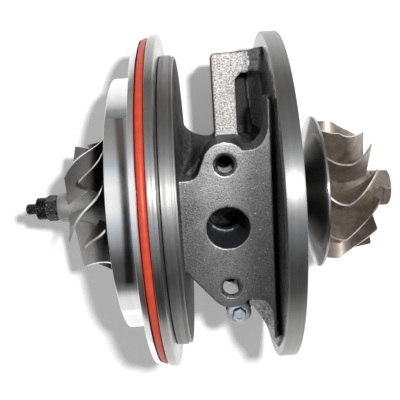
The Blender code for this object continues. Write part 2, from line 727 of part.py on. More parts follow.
def screw_angles():
    return [45.0 + 360.0 * i / SCREW_COUNT for i in range(SCREW_COUNT)]


def screw_holes():
    """Threaded holes for the back plate's screws, in the housing's mouth."""
    tools = []
    for i, angle in enumerate(screw_angles()):
        y, z = around(SCREW_CIRCLE_RADIUS, angle)
        tools.append(rod(f"plate_thread_{i}", (housing_left - SEAT_GAP, y, z),
                         (housing_left + SCREW_THREAD_LENGTH + SEAT_GAP, y, z), SCREW_RADIUS + SEAT_GAP, 12))
    return tools


def pin_holes(name):
    """Holes for the thrust bearing's two pins."""
    tools = []
    for i, angle in enumerate((90.0, 270.0)):
        y, z = around(PIN_CIRCLE_RADIUS, angle)
        tools.append(rod(f"{name}_{i}", (thrust_left - SEAT_GAP, y, z),
                         (thrust_left + PIN_LENGTH + SEAT_GAP, y, z), PIN_RADIUS + SEAT_GAP, 12))
    return tools


def compressor_backplate():
    """The turned plate behind the compressor wheel, with its rim, ring groove and seal bore."""
    chamfer = EDGE_CHAMFER
    spigot, lip, rim = PLATE_SPIGOT_RADIUS, PLATE_LIP_RADIUS, PLATE_FLANGE_RADIUS
    groove_floor = lip - ORING_THICKNESS - SEAT_GAP
    hollow_end = plate_front + PLATE_WALL
    seal_depth = FACE_SEAL_THICKNESS + SEAT_GAP
    seal_in = FACE_SEAL_RADIUS - FACE_SEAL_THICKNESS / 2 - SEAT_GAP
    seal_out = FACE_SEAL_RADIUS + FACE_SEAL_THICKNESS / 2 + SEAT_GAP
    draft = 0.0006
    profile = [
        (plate_front, PLATE_SEAL_BORE_RADIUS),
        (plate_front, spigot - chamfer),
        (plate_front + chamfer, spigot),
        (lip_left - 2 * chamfer, spigot),
        (lip_left, spigot + 2 * chamfer),
        (lip_left, lip - chamfer),
        (lip_left + chamfer, lip),
        (groove_left, lip),
        (groove_left, groove_floor),
        (groove_right, groove_floor),
        (groove_right, rim - chamfer / 2),
        (groove_right + chamfer / 2, rim),
        (plate_back - chamfer, rim),
        (plate_back, rim - chamfer),
        (plate_back, seal_out),
        (plate_back - seal_depth, seal_out),
        (plate_back - seal_depth, seal_in),
        (plate_back, seal_in),
        (plate_back, PLATE_HOLLOW_RADIUS),
        (hollow_end + 2 * draft, PLATE_HOLLOW_RADIUS - draft),
        (hollow_end, PLATE_HOLLOW_RADIUS - 4 * draft),
        (hollow_end, PLATE_HUB_RADIUS + 2 * draft),
        (plate_back, PLATE_HUB_RADIUS),
        (plate_back, THRUST_CHAMBER_RADIUS),
        (recess_left, THRUST_CHAMBER_RADIUS),
        (recess_left, PLATE_SEAL_BORE_RADIUS),
    ]
    plate = turned("compressor_backplate", profile, RIM_FACETS, TURNED_ALUMINIUM)
    for i, angle in enumerate(screw_angles()):
        y, z = around(SCREW_CIRCLE_RADIUS, angle)
        cut(plate,
            rod(f"screw_clearance_{i}", (plate_front - SEAT_GAP, y, z), (plate_back + SEAT_GAP, y, z),
                SCREW_RADIUS + SEAT_GAP, 12),
            rod(f"screw_counterbore_{i}", (plate_front - SEAT_GAP, y, z),
                (plate_front + SCREW_HEAD_HEIGHT + 2 * SEAT_GAP, y, z), SCREW_HEAD_RADIUS + SEAT_GAP, 12))
    return plate


def backplate_screws():
    """The socket screws that hold the back plate to the housing."""
    for i, angle in enumerate(screw_angles()):
        y, z = around(SCREW_CIRCLE_RADIUS, angle)
        head_left = plate_front + SEAT_GAP
        head_right = head_left + SCREW_HEAD_HEIGHT
        screw = rod(f"backplate_screw_{i + 1}", (head_left, y, z), (head_right, y, z), SCREW_HEAD_RADIUS, 12,
                    ZINC_STEEL)
        shank = rod(f"screw_shank_{i}", (head_right - SEAT_GAP, y, z),
                    (housing_left + SCREW_THREAD_LENGTH, y, z), SCREW_RADIUS, 12)
        socket = rod(f"screw_socket_{i}", (head_left - SEAT_GAP, y, z),
                     (head_left + SCREW_HEAD_HEIGHT / 2, y, z), SCREW_SOCKET_RADIUS, 6)
        fuse(screw, shank)
        cut(screw, socket)


def ring_seal(name, centre_x, centre_radius, thickness, sides, facets, material):
    """A round-section ring about the rotor axis."""
    section = [(centre_x + thickness / 2 * math.cos(2 * math.pi * (i + 0.5) / sides),
                centre_radius + thickness / 2 * math.sin(2 * math.pi * (i + 0.5) / sides))
               for i in range(sides)]
    return turned(name, section, facets, material)


def backplate_o_ring():
    """The red ring in the groove of the back plate's rim."""
    middle = (groove_left + groove_right) / 2
    outer = PLATE_LIP_RADIUS + SEAT_GAP
    return ring_seal("backplate_o_ring", middle, outer - ORING_THICKNESS / 2, ORING_THICKNESS, 8,
                     RIM_FACETS, RED_RUBBER)


def housing_seal_ring():
    """The small ring between the back plate and the housing's mouth."""
    centre = plate_back - (FACE_SEAL_THICKNESS + SEAT_GAP) / 2 + SEAT_GAP / 2
    return ring_seal("housing_seal_ring", centre, FACE_SEAL_RADIUS, FACE_SEAL_THICKNESS - 2 * SEAT_GAP, 6,
                     WHEEL_FACETS, BLACK_RUBBER)


def gallery_bolt():
    """The flanged socket bolt in the ear."""
    seat = EAR_TOP_HEIGHT + SEAT_GAP
    top = seat + BOLT_FLANGE_THICKNESS
    bolt = rod("gallery_bolt", (EAR_X, EAR_Y, seat), (EAR_X, EAR_Y, top), BOLT_FLANGE_RADIUS, BORE_FACETS,
               ZINC_STEEL)
    head = rod("bolt_head", (EAR_X, EAR_Y, top - SEAT_GAP), (EAR_X, EAR_Y, top + BOLT_HEAD_HEIGHT),
               BOLT_HEAD_RADIUS, SMALL_FACETS)
    shank = rod("bolt_shank", (EAR_X, EAR_Y, EAR_TOP_HEIGHT - BOLT_SHANK_LENGTH), (EAR_X, EAR_Y, seat + SEAT_GAP),
                BOLT_SHANK_RADIUS, 16)
    socket = rod("bolt_socket", (EAR_X, EAR_Y, top + BOLT_HEAD_HEIGHT - BOLT_SOCKET_DEPTH),
                 (EAR_X, EAR_Y, top + BOLT_HEAD_HEIGHT + SEAT_GAP), BOLT_SOCKET_RADIUS, 12)
    fuse(bolt, head, shank)
    cut(bolt, socket)
    return bolt


def heat_shield():
    """The dished sheet between the housing and the turbine wheel."""
    outer = TURBINE_BOSS_RADIUS + SEAT_GAP + SHIELD_THICKNESS
    inner = outer - SHIELD_THICKNESS
    corner = SHIELD_CORNER
    return turned("heat_shield", [
        (shield_left, inner),
        (shield_left, outer),
        (shield_right - corner, outer),
        (shield_right - corner / 3, outer - corner / 3),
        (shield_right, outer - corner),
        (shield_right, SHIELD_BORE_RADIUS),
        (shield_right - SHIELD_THICKNESS, SHIELD_BORE_RADIUS),
        (shield_right - SHIELD_THICKNESS, inner),
    ], WHEEL_FACETS, SHEET_STEEL)


def open_side(name, left, right, half_width, reach):
    """A slot from the axis towards the drain side."""
    return block(name, (left - SEAT_GAP, -half_width, 0.0), (right + SEAT_GAP, half_width, reach))


def thrust_bearing():
    """The bronze plate that takes the rotor's end load, open on its drain side."""
    bore = COLLAR_NECK_RADIUS + RUN_GAP
    plate = turned("thrust_bearing", [
        (thrust_left, bore),
        (thrust_left, THRUST_CHAMBER_RADIUS - SEAT_GAP),
        (thrust_right, THRUST_CHAMBER_RADIUS - SEAT_GAP),
        (thrust_right, bore),
    ], BORE_FACETS, BRONZE)
    cut(plate, open_side("thrust_slot", thrust_left, thrust_right, bore, THRUST_CHAMBER_RADIUS + SEAT_GAP))
    cut(plate, *pin_holes("thrust_pin_hole"))
    return plate


def thrust_bearing_pins():
    """The two pins that stop the thrust bearing from turning."""
    for i, angle in enumerate((90.0, 270.0)):
        y, z = around(PIN_CIRCLE_RADIUS, angle)
        rod(f"thrust_bearing_pin_{i + 1}", (thrust_left, y, z), (thrust_left + PIN_LENGTH, y, z), PIN_RADIUS,
            12, GROUND_STEEL)


def oil_deflector():
    """The thin sheet that keeps thrown oil away from the compressor seal."""
    right = thrust_left - 3 * RUN_GAP - COLLAR_FLANGE_WIDTH
    left = right - DEFLECTOR_THICKNESS
    rim = THRUST_CHAMBER_RADIUS - SEAT_GAP
    return turned("oil_deflector", [
        (left, DEFLECTOR_BORE_RADIUS),
        (left, rim),
        (thrust_left - SEAT_GAP, rim),
        (thrust_left - SEAT_GAP, rim - DEFLECTOR_THICKNESS),
        (right, rim - DEFLECTOR_THICKNESS),
        (right, DEFLECTOR_BORE_RADIUS),
    ], BORE_FACETS, SHEET_STEEL)


def journal_bearing(name, centre):
    """A floating bronze bush with a ring of oil holes."""
    bore = JOURNAL_RADIUS + RUN_GAP
    left, right = centre - BUSH_LENGTH / 2, centre + BUSH_LENGTH / 2
    chamfer = EDGE_CHAMFER
    bush = turned(name, [
        (left, bore),
        (left, BUSH_OUTER_RADIUS - chamfer),
        (left + chamfer, BUSH_OUTER_RADIUS),
        (right - chamfer, BUSH_OUTER_RADIUS),
        (right, BUSH_OUTER_RADIUS - chamfer),
        (right, bore),
    ], BORE_FACETS, BRONZE)
    for i in range(BUSH_OIL_HOLES // 2):
        y, z = around(BUSH_OUTER_RADIUS + 0.001, 360.0 * i / BUSH_OIL_HOLES)
        cut(bush, rod(f"{name}_oil_{i}", (centre, -y, -z), (centre, y, z), BUSH_OIL_HOLE_RADIUS, 8))
    return bush


def bearing_snap_rings():
    """Four snap rings, one on each side of each journal bearing."""
    for i, left in enumerate(snap_ring_places()):
        right = left + SNAP_RING_WIDTH
        outer = SNAP_GROOVE_RADIUS - SEAT_GAP
        ring = turned(f"bearing_snap_ring_{i + 1}", [
            (left, SNAP_RING_INNER_RADIUS), (left, outer), (right, outer), (right, SNAP_RING_INNER_RADIUS),
        ], BORE_FACETS, GROUND_STEEL)
        half_gap = outer * math.sin(math.radians(SNAP_RING_GAP_ANGLE / 2))
        cut(ring, open_side(f"ring_mouth_{i}", left, right, half_gap, SNAP_GROOVE_RADIUS + SEAT_GAP))


def piston_ring(name, left, bore_radius):
    """A cast iron sealing ring that stands in a bore and in the rotor's groove."""
    outer = bore_radius - SEAT_GAP
    inner = outer - PISTON_RING_DEPTH
    ring = turned(name, [
        (left, inner), (left, outer), (left + PISTON_RING_WIDTH, outer), (left + PISTON_RING_WIDTH, inner),
    ], BORE_FACETS, GROUND_STEEL)
    split = SEAT_GAP
    cut(ring, open_side(name + "_split", left, left + PISTON_RING_WIDTH, split, bore_radius))
    return ring


def ring_groove(left, bore_radius, shaft_radius):
    """Profile points of a piston ring's groove in the rotor, left to right."""
    floor = bore_radius - SEAT_GAP - PISTON_RING_DEPTH - RUN_GAP
    right = left + PISTON_RING_WIDTH + RUN_GAP
    left = left - RUN_GAP
    return [(left, shaft_radius), (left, floor), (right, floor), (right, shaft_radius)]


compressor_ring_left = plate_front + 0.4 * (recess_left - plate_front)
turbine_ring_left = boss_right - 0.4 * TURBINE_BORE_DEPTH


def rotor_shaft():
    """The ground steel shaft with its journals and the hub for the turbine wheel."""
    waist_left = BUSH_CENTRE - (BUSH_SPREAD - BUSH_LENGTH) / 2 + 0.0015
    waist_right = BUSH_CENTRE + (BUSH_SPREAD - BUSH_LENGTH) / 2 - 0.0015
    step = 0.0005
    hub_left = turbine_bore_left + 0.0008
    hub_right = turbine_back - SEAT_GAP
    profile = [
        (stub_front, 0.0),
        (stub_front, STUB_RADIUS - step / 2),
        (stub_front + step / 2, STUB_RADIUS),
        (nut_front - SEAT_GAP, STUB_RADIUS),
        (nut_front - SEAT_GAP, THREAD_RADIUS),
        (nut_back, THREAD_RADIUS),
        (nut_back, SHAFT_NOSE_RADIUS),
        (journal_start, SHAFT_NOSE_RADIUS),
        (journal_start, JOURNAL_RADIUS),
        (waist_left, JOURNAL_RADIUS),
        (waist_left + step, WAIST_RADIUS),
        (waist_right - step, WAIST_RADIUS),
        (waist_right, JOURNAL_RADIUS),
        (hub_left - step, JOURNAL_RADIUS),
        (hub_left, SHAFT_HUB_RADIUS),
    ]
    profile += ring_groove(turbine_ring_left, TURBINE_BORE_RADIUS, SHAFT_HUB_RADIUS)
    profile += [
        (hub_right, SHAFT_HUB_RADIUS),
        (hub_right, PILOT_RADIUS),
        (hub_right + PILOT_LENGTH, PILOT_RADIUS),
        (hub_right + PILOT_LENGTH, 0.0),
    ]
    return turned("rotor_shaft", profile, BORE_FACETS, GROUND_STEEL)


def shaft_nut():
    """The black nut with its ridged collar, clamping the compressor wheel."""
    bore = THREAD_RADIUS + SEAT_GAP
    pitch = NUT_COLLAR_LENGTH / NUT_RIDGE_COUNT
    crest, root = NUT_COLLAR_RADIUS, NUT_COLLAR_RADIUS - NUT_RIDGE_DEPTH
    profile = [(nut_front, bore)]
    for i in range(NUT_RIDGE_COUNT):
        left = nut_front + i * pitch
        profile += [(left, root), (left + 0.3 * pitch, crest), (left + 0.7 * pitch, crest)]
    profile += [(collar_back + SEAT_GAP, root), (collar_back + SEAT_GAP, bore)]
    nut = turned("shaft_nut", profile, SMALL_FACETS, BLACK_STEEL)
    hexagon = rod("nut_hexagon", (collar_back, 0.0, 0.0), (nut_back, 0.0, 0.0), NUT_HEX_RADIUS, 6,
                  turn=NUT_HEX_TURN)
    cut(hexagon, rod("nut_bore", (collar_back - SEAT_GAP, 0.0, 0.0), (nut_back + SEAT_GAP, 0.0, 0.0), bore))
    fuse(nut, hexagon)
    return nut


def thrust_collar():
    """The steel spool that turns between the faces of the thrust bearing."""
    bore = SHAFT_NOSE_RADIUS + SEAT_GAP
    return turned("thrust_collar", [
        (collar_left, bore),
        (collar_left, COLLAR_FLANGE_RADIUS),
        (thrust_left - RUN_GAP, COLLAR_FLANGE_RADIUS),
        (thrust_left - RUN_GAP, COLLAR_NECK_RADIUS),
        (thrust_right + RUN_GAP, COLLAR_NECK_RADIUS),
        (thrust_right + RUN_GAP, COLLAR_FLANGE_RADIUS),
        (collar_right, COLLAR_FLANGE_RADIUS),
        (collar_right, bore),
    ], BORE_FACETS, GROUND_STEEL)


def oil_flinger_sleeve():
    """The sleeve behind the compressor wheel, with its seal groove and oil thrower."""
    bore = SHAFT_NOSE_RADIUS + SEAT_GAP
    thrower_left = recess_left + RUN_GAP
    profile = [(wheel_back + SEAT_GAP, bore), (wheel_back + SEAT_GAP, SLEEVE_RADIUS)]
    profile += ring_groove(compressor_ring_left, PLATE_SEAL_BORE_RADIUS, SLEEVE_RADIUS)
    profile += [
        (thrower_left, SLEEVE_RADIUS),
        (thrower_left, FLINGER_RADIUS),
        (thrower_left + FLINGER_WIDTH, FLINGER_RADIUS),
        (thrower_left + FLINGER_WIDTH, SLEEVE_RADIUS),
        (collar_left - SEAT_GAP, SLEEVE_RADIUS),
        (collar_left - SEAT_GAP, bore),
    ]
    return turned("oil_flinger_sleeve", profile, BORE_FACETS, GROUND_STEEL)


def blade_mesh(name, stations):
    """A closed blade lofted through stations of (root point, tip point, root and tip thickness).

    A point is (x, radius, angle in degrees). The thickness is laid along the circumference and
    widened by the slope of the blade there, so that it stays true across the blade.
    """
    def slope(index, end):
        before = stations[max(index - 1, 0)][end]
        after = stations[min(index + 1, len(stations) - 1)][end]
        run = math.hypot(after[0] - before[0], after[1] - before[1])
        radius = stations[index][end][1]
        return radius * math.radians(after[2] - before[2]) / run

    shape = bmesh.new()
    rows = []
    for index, (root, tip, root_width, tip_width) in enumerate(stations):
        row = []
        for end, side in ((0, -1), (1, -1), (1, 1), (0, 1)):
            x, radius, angle = (root, tip)[end]
            width = (root_width, tip_width)[end] * math.hypot(1.0, slope(index, end))
            turn = math.radians(angle) + side * width / 2 / radius
            row.append(shape.verts.new((x, radius * math.sin(turn), radius * math.cos(turn))))
        rows.append(row)
    for front, back in zip(rows, rows[1:]):
        for i in range(4):
            j = (i + 1) % 4
            shape.faces.new((front[i], front[j], back[j], back[i]))
    shape.faces.new(rows[0][::-1])
    shape.faces.new(rows[-1])
    bmesh.ops.recalc_face_normals(shape, faces=shape.faces)
    mesh = bpy.data.meshes.new(name)
    shape.to_mesh(mesh)
    shape.free()
    return mesh


def blade_ring(name, mesh, count, first_angle):
    """Copies of one blade, evenly round the rotor axis, joined in one mesh."""
    shape = bmesh.new()
    for i in range(count):
        start = len(shape.verts)
        shape.from_mesh(mesh)
        shape.verts.ensure_lookup_table()
        turn = math.radians(first_angle + 360.0 * i / count)
        for vertex in shape.verts[start:]:
            x, y, z = vertex.co
            vertex.co = (x, y * math.cos(turn) + z * math.sin(turn), z * math.cos(turn) - y * math.sin(turn))
    joined = bpy.data.meshes.new(name)
    shape.to_mesh(joined)
    shape.free()
    return place(name, joined, None)


def compressor_hub_curve(swing):
    """Quarter ellipse of the compressor hub: x and radius at a swing from 0 to 90 degrees."""
    run = COMPRESSOR_HUB_LENGTH - COMPRESSOR_DISC_THICKNESS
    rise = COMPRESSOR_EXIT_RADIUS - COMPRESSOR_HUB_RADIUS
    turn = math.radians(swing)
    return hub_front + run * math.sin(turn), COMPRESSOR_EXIT_RADIUS - rise * math.cos(turn)


def compressor_sweep(share):
    """How far a compressor blade has wrapped round the axis, in degrees, at a share of its length."""
    along = math.sin(math.radians(90.0 * share)) ** (2.0 / SHROUD_EXPONENT)
    return COMPRESSOR_WRAP * (2.115 * along - 2.36 * along ** 2 + 1.245 * along ** 3)


def compressor_station(root_share, tip_share):
    """One station of a compressor blade: its root and its tip, leading edge (0) to trailing edge (1)."""
    turn = math.radians(90.0 * root_share)
    sink = 0.0006
    hub_x, hub_radius = compressor_hub_curve(90.0 * root_share)
    lean = COMPRESSOR_EDGE_LEAN * (1.0 - root_share) ** 2
    root = (hub_x + sink * math.sin(turn), hub_radius - sink * math.cos(turn), compressor_sweep(root_share) - lean)
    turn = math.radians(90.0 * tip_share)
    power = 2.0 / SHROUD_EXPONENT
    tip_end = wheel_back - COMPRESSOR_DISC_THICKNESS - COMPRESSOR_TIP_WIDTH
    rise = COMPRESSOR_EXIT_RADIUS - COMPRESSOR_INLET_RADIUS
    tip = (tip_end - COMPRESSOR_TIP_LENGTH * (1.0 - math.sin(turn) ** power),
           COMPRESSOR_EXIT_RADIUS - rise * math.cos(turn) ** power, compressor_sweep(tip_share))
    thin = 0.45 + 0.55 * math.sin(math.pi * min(1.0, 0.15 + tip_share) / 1.15)
    return root, tip, COMPRESSOR_BLADE_ROOT, COMPRESSOR_BLADE_TIP * (0.6 + 0.4 * thin)


def compressor_wheel():
    """The aluminium wheel: bored hub, full blades and as many splitters between them."""
    bore = SHAFT_NOSE_RADIUS + SEAT_GAP
    profile = [
        (nose_front, bore),
        (nose_front, COMPRESSOR_HUB_RADIUS - EDGE_CHAMFER),
        (nose_front + EDGE_CHAMFER, COMPRESSOR_HUB_RADIUS),
    ]
    profile += [compressor_hub_curve(90.0 * i / 7) for i in range(8)]
    profile += [(wheel_back, COMPRESSOR_EXIT_RADIUS), (wheel_back, bore)]
    wheel = turned("compressor_wheel", profile, WHEEL_FACETS, WHEEL_ALUMINIUM)
    count = 8
    full = [compressor_station(i / count, i / count) for i in range(count + 1)]
    root, tip = SPLITTER_ROOT_START, SPLITTER_TIP_START
    short = [compressor_station(root + (1 - root) * i / 6, tip + (1 - tip) * i / 6) for i in range(7)]
    first = COMPRESSOR_BLADE_ANGLE
    between = first + 180.0 / COMPRESSOR_BLADES
    fuse(wheel,
         blade_ring("full_blades", blade_mesh("full_blade", full), COMPRESSOR_BLADES, first),
         blade_ring("splitter_blades", blade_mesh("splitter_blade", short), COMPRESSOR_BLADES, between))
    return wheel


def turbine_hub_curve(share):
    """Front of the turbine wheel's disc and hub: x and radius, rim (0) to neck (1)."""
    run = blade_end - disc_front
    rise = TURBINE_INLET_RADIUS - TURBINE_HUB_END_RADIUS
    turn = math.radians(90.0 * share)
    return disc_front + run * (1.0 - math.cos(turn)), TURBINE_HUB_END_RADIUS + rise * (1.0 - math.sin(turn)) ** 1.15


def turbine_hub_radius(x):
    """Radius of the hub's front at one x."""
    along = (x - disc_front) / (blade_end - disc_front)
    share = math.acos(max(-1.0, min(1.0, 1.0 - along))) / math.radians(90.0)
    return turbine_hub_curve(share)[1]


def turbine_tip_radius(x):
    """Radius of the blades' outer edge at one x."""
    shroud_start = disc_front + TURBINE_INLET_WIDTH
    if x <= shroud_start:
        return TURBINE_INLET_RADIUS
    left = max((blade_end - x) / (blade_end - shroud_start), 0.0)
    drop = TURBINE_INLET_RADIUS - TURBINE_EXIT_RADIUS
    return TURBINE_EXIT_RADIUS + drop * left ** TURBINE_SHROUD_EXPONENT


def turbine_station(x):
    """One station of a turbine blade: radial fibres whose angle depends only on x."""
    sink = 0.0006
    turn_place = disc_front + TURBINE_TURN_PLACE
    angle = TURBINE_TURN_RATE * (x - turn_place) ** 2
    root_radius = min(turbine_hub_radius(max(x, disc_front)) - sink, TURBINE_INLET_RADIUS - 4 * sink)
    return (x, root_radius, angle), (x, turbine_tip_radius(x), angle), TURBINE_BLADE_ROOT, TURBINE_BLADE_TIP


def turbine_wheel():
    """The nickel alloy wheel: full back disc, twelve curved blades and a hexagonal nose."""
    back = turbine_back
    pilot = PILOT_RADIUS + SEAT_GAP
    depth = back - SEAT_GAP + PILOT_LENGTH + SEAT_GAP
    rim = TURBINE_DISC_RADIUS
    reach = rim - SHAFT_HUB_RADIUS
    profile = [
        (depth, 0.0),
        (depth, pilot),
        (back, pilot),
        (back, SHAFT_HUB_RADIUS),
        (back + 0.34 * TURBINE_BACK_LENGTH, SHAFT_HUB_RADIUS + 0.2 * reach),
        (back + 0.62 * TURBINE_BACK_LENGTH, SHAFT_HUB_RADIUS + 0.5 * reach),
        (back + 0.84 * TURBINE_BACK_LENGTH, SHAFT_HUB_RADIUS + 0.76 * reach),
        (disc_back, rim),
        (disc_front, rim),
    ]
    profile += [turbine_hub_curve(i / 7) for i in range(8)]
    profile += [(hex_start + SEAT_GAP, TURBINE_HUB_END_RADIUS - 0.0014), (hex_start + SEAT_GAP, 0.0)]
    wheel = turned("turbine_wheel", profile, WHEEL_FACETS, NICKEL_ALLOY)
    count = 8
    start = disc_front - 0.4 * TURBINE_DISC_THICKNESS
    stations = [turbine_station(start + (blade_end - start) * i / count) for i in range(count + 1)]
    blades = blade_ring("turbine_blades", blade_mesh("turbine_blade", stations), TURBINE_BLADES,
                        TURBINE_BLADE_ANGLE)
    fuse(wheel, blades, hex_nose())
    return wheel


def hex_nose():
    """The hexagon that holds the wheel during welding, with its balancing cut."""
    nose = rod("hex_nose", (hex_start, 0.0, 0.0), (turbine_end, 0.0, 0.0), TURBINE_HEX_RADIUS, 6,
               turn=TURBINE_HEX_TURN)
    edges = nose.modifiers.new("nose_edges", "BEVEL")
    edges.width = EDGE_CHAMFER
    edges.segments = 1
    facing = math.radians(TURBINE_HEX_TURN - 30.0)
    height = TURBINE_HEX_RADIUS * math.cos(math.radians(30.0)) + BALANCE_CUT_RADIUS - BALANCE_CUT_DEPTH
    middle = Vector((hex_start + BALANCE_CUT_PLACE, height * math.sin(facing), height * math.cos(facing)))
    across = Vector((0.0, math.cos(facing), -math.sin(facing))) * TURBINE_HEX_RADIUS
    cut(nose, rod("balance_cut", middle - across, middle + across, BALANCE_CUT_RADIUS))
    return nose


bearing_housing()
compressor_backplate()
backplate_o_ring()
housing_seal_ring()
backplate_screws()
gallery_bolt()
heat_shield()
thrust_bearing()
thrust_bearing_pins()
oil_deflector()
bearing_snap_rings()
compressor_centre, turbine_centre = journal_centres()
journal_bearing("compressor_journal_bearing", compressor_centre)
journal_bearing("turbine_journal_bearing", turbine_centre)
piston_ring("compressor_piston_ring", compressor_ring_left, PLATE_SEAL_BORE_RADIUS)
piston_ring("turbine_piston_ring", turbine_ring_left, TURBINE_BORE_RADIUS)
rotor_shaft()
shaft_nut()
thrust_collar()
oil_flinger_sleeve()
compressor_wheel()
turbine_wheel()
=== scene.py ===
import math

import bmesh
import bpy
import numpy as np
from mathutils import Matrix, Vector


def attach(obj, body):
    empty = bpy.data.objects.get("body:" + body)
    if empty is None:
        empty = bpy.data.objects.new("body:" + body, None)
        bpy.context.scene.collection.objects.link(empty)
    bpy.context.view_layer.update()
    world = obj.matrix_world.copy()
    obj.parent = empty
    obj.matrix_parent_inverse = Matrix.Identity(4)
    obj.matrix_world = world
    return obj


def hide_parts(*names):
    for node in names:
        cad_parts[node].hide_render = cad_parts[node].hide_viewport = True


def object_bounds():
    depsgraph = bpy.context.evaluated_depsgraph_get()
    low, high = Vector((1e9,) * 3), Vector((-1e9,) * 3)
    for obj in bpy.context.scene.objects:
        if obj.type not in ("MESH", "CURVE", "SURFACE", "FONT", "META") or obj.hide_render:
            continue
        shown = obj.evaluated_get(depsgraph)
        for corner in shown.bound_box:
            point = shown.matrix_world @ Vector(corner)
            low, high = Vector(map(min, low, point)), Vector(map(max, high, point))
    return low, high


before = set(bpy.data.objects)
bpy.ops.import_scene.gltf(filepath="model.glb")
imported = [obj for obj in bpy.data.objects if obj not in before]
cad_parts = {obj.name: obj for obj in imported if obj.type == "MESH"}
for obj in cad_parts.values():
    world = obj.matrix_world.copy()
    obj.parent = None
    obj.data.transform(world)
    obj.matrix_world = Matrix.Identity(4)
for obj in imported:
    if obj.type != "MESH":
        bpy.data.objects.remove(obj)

cad_box = [list(corner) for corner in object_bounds()]

# All shapes below are in millimetres, from the drain hole's axis on the rotor axis.
# X runs along the rotor towards the turbine wheel, Z out of the drain flange.
housing_left, disc_right = -18.35, -13.9
flange_left, flange_right, boss_right = 14.9, 20.2, 25.3
plate_back, groove_right, groove_left, lip_left, plate_front = -18.65, -21.3, -24.1, -25.9, -34.7
wheel_back, hub_front, nose_front = -35.4, -55.0, -59.5
nut_back, collar_back, nut_front, stub_front = -59.8, -63.6, -67.3, -71.3
turbine_back, disc_back, disc_front, blade_end = 27.2, 31.9, 32.9, 50.2
hex_start, turbine_end = 52.5, 58.5
# Height of the drain flange's face
FACE = 38.0
# Drain hole, threaded holes and their distance from it, and the lug's top
DRAIN_RADIUS, THREAD_RADIUS, HOLE_Y = 6.4, 2.6, 19.0
LUG_TOP = 11.0
# Place of the bolt's ear and of the oil inlet
EAR_X, EAR_Y = 2.8, -38.0
INLET_X = 3.5
# Grid step of the casting
STEP = 0.4
# Strength of the lamp, of the plain light from all round, and of the floor's own glow
KEY = 36.0
AMBIENT = 0.26
FLOOR_GLOW = 0.2
ORIGIN = Vector((cad_box[0][0] - stub_front * 0.001, 0.0, 0.0573769))


# Node materials

def new_material(name, colour, roughness, metallic):
    """A material with a Principled shader: the tree, the shader and a place for more nodes."""
    made = bpy.data.materials.new(name)
    made.use_nodes = True
    tree = made.node_tree
    shader = tree.nodes["Principled BSDF"]
    shader.inputs["Base Color"].default_value = (*colour, 1.0)
    shader.inputs["Roughness"].default_value = roughness
    shader.inputs["Metallic"].default_value = metallic
    return made, tree, shader


def node(tree, kind, inputs=None, **settings):
    """A node with its settings, and its inputs set or linked by name or number."""
    made = tree.nodes.new(kind)
    for key, value in settings.items():
        setattr(made, key, value)
    for key, value in (inputs or {}).items():
        socket = made.inputs[key]
        if isinstance(value, bpy.types.NodeSocket):
            tree.links.new(value, socket)
        else:
            socket.default_value = value
    return made


def place_in_mm(tree):
    """The point on the piece, in millimetres."""
    coordinate = node(tree, "ShaderNodeTexCoord")
    return node(tree, "ShaderNodeVectorMath", {0: coordinate.outputs["Object"], 1: (1000, 1000, 1000)},
                operation="MULTIPLY").outputs[0]


def math_node(tree, operation, first, second=0.5, third=0.5):
    return node(tree, "ShaderNodeMath", {0: first, 1: second, 2: third}, operation=operation).outputs[0]


def weighted(tree, first, share, second, rest):
    """First times share plus second times rest."""
    return math_node(tree, "MULTIPLY_ADD", second, rest, math_node(tree, "MULTIPLY", first, share))


def noise(tree, vector, scale, detail=2.0, rough=0.5):
    return node(tree, "ShaderNodeTexNoise", {"Vector": vector, "Scale": scale, "Detail": detail,
                                             "Roughness": rough}).outputs[0]


def ramp(tree, factor, stops):
    """A colour ramp; each stop is a position and a grey or a colour."""
    made = node(tree, "ShaderNodeValToRGB", {0: factor})
    elements = made.color_ramp.elements
    while len(elements) < len(stops):
        elements.new(0.5)
    for element, (position, colour) in zip(elements, stops):
        if not isinstance(colour, tuple):
            colour = (colour, colour, colour)
        element.position = position
        element.color = (*colour, 1.0)
    return made.outputs[0]


def span(tree, value, low, high, to_low=0.0, to_high=1.0):
    return node(tree, "ShaderNodeMapRange", {0: value, 1: low, 2: high, 3: to_low, 4: to_high}).outputs[0]


def mix(tree, factor, first, second, blend="MIX"):
    made = node(tree, "ShaderNodeMix", data_type="RGBA", blend_type=blend)
    for socket, value in ((made.inputs[0], factor), (made.inputs[6], first), (made.inputs[7], second)):
        if isinstance(value, bpy.types.NodeSocket):
            tree.links.new(value, socket)
        elif isinstance(value, tuple):
            socket.default_value = (*value, 1.0)
        else:
            socket.default_value = value
    return made.outputs[2]


def bump(tree, shader, height, distance):
    made = node(tree, "ShaderNodeBump", {"Height": height, "Distance": distance * 0.001, "Strength": 1.0})
    tree.links.new(made.outputs[0], shader.inputs["Normal"])


def ring_vector(tree, point):
    """Coordinates that are the same all round the rotor axis: place along it and radius."""
    parts = node(tree, "ShaderNodeSeparateXYZ", {0: point}).outputs
    flat = node(tree, "ShaderNodeCombineXYZ", {1: parts[1], 2: parts[2]}).outputs[0]
    radius = node(tree, "ShaderNodeVectorMath", {0: flat}, operation="LENGTH").outputs[1]
    return node(tree, "ShaderNodeCombineXYZ", {0: parts[0], 1: radius}).outputs[0]


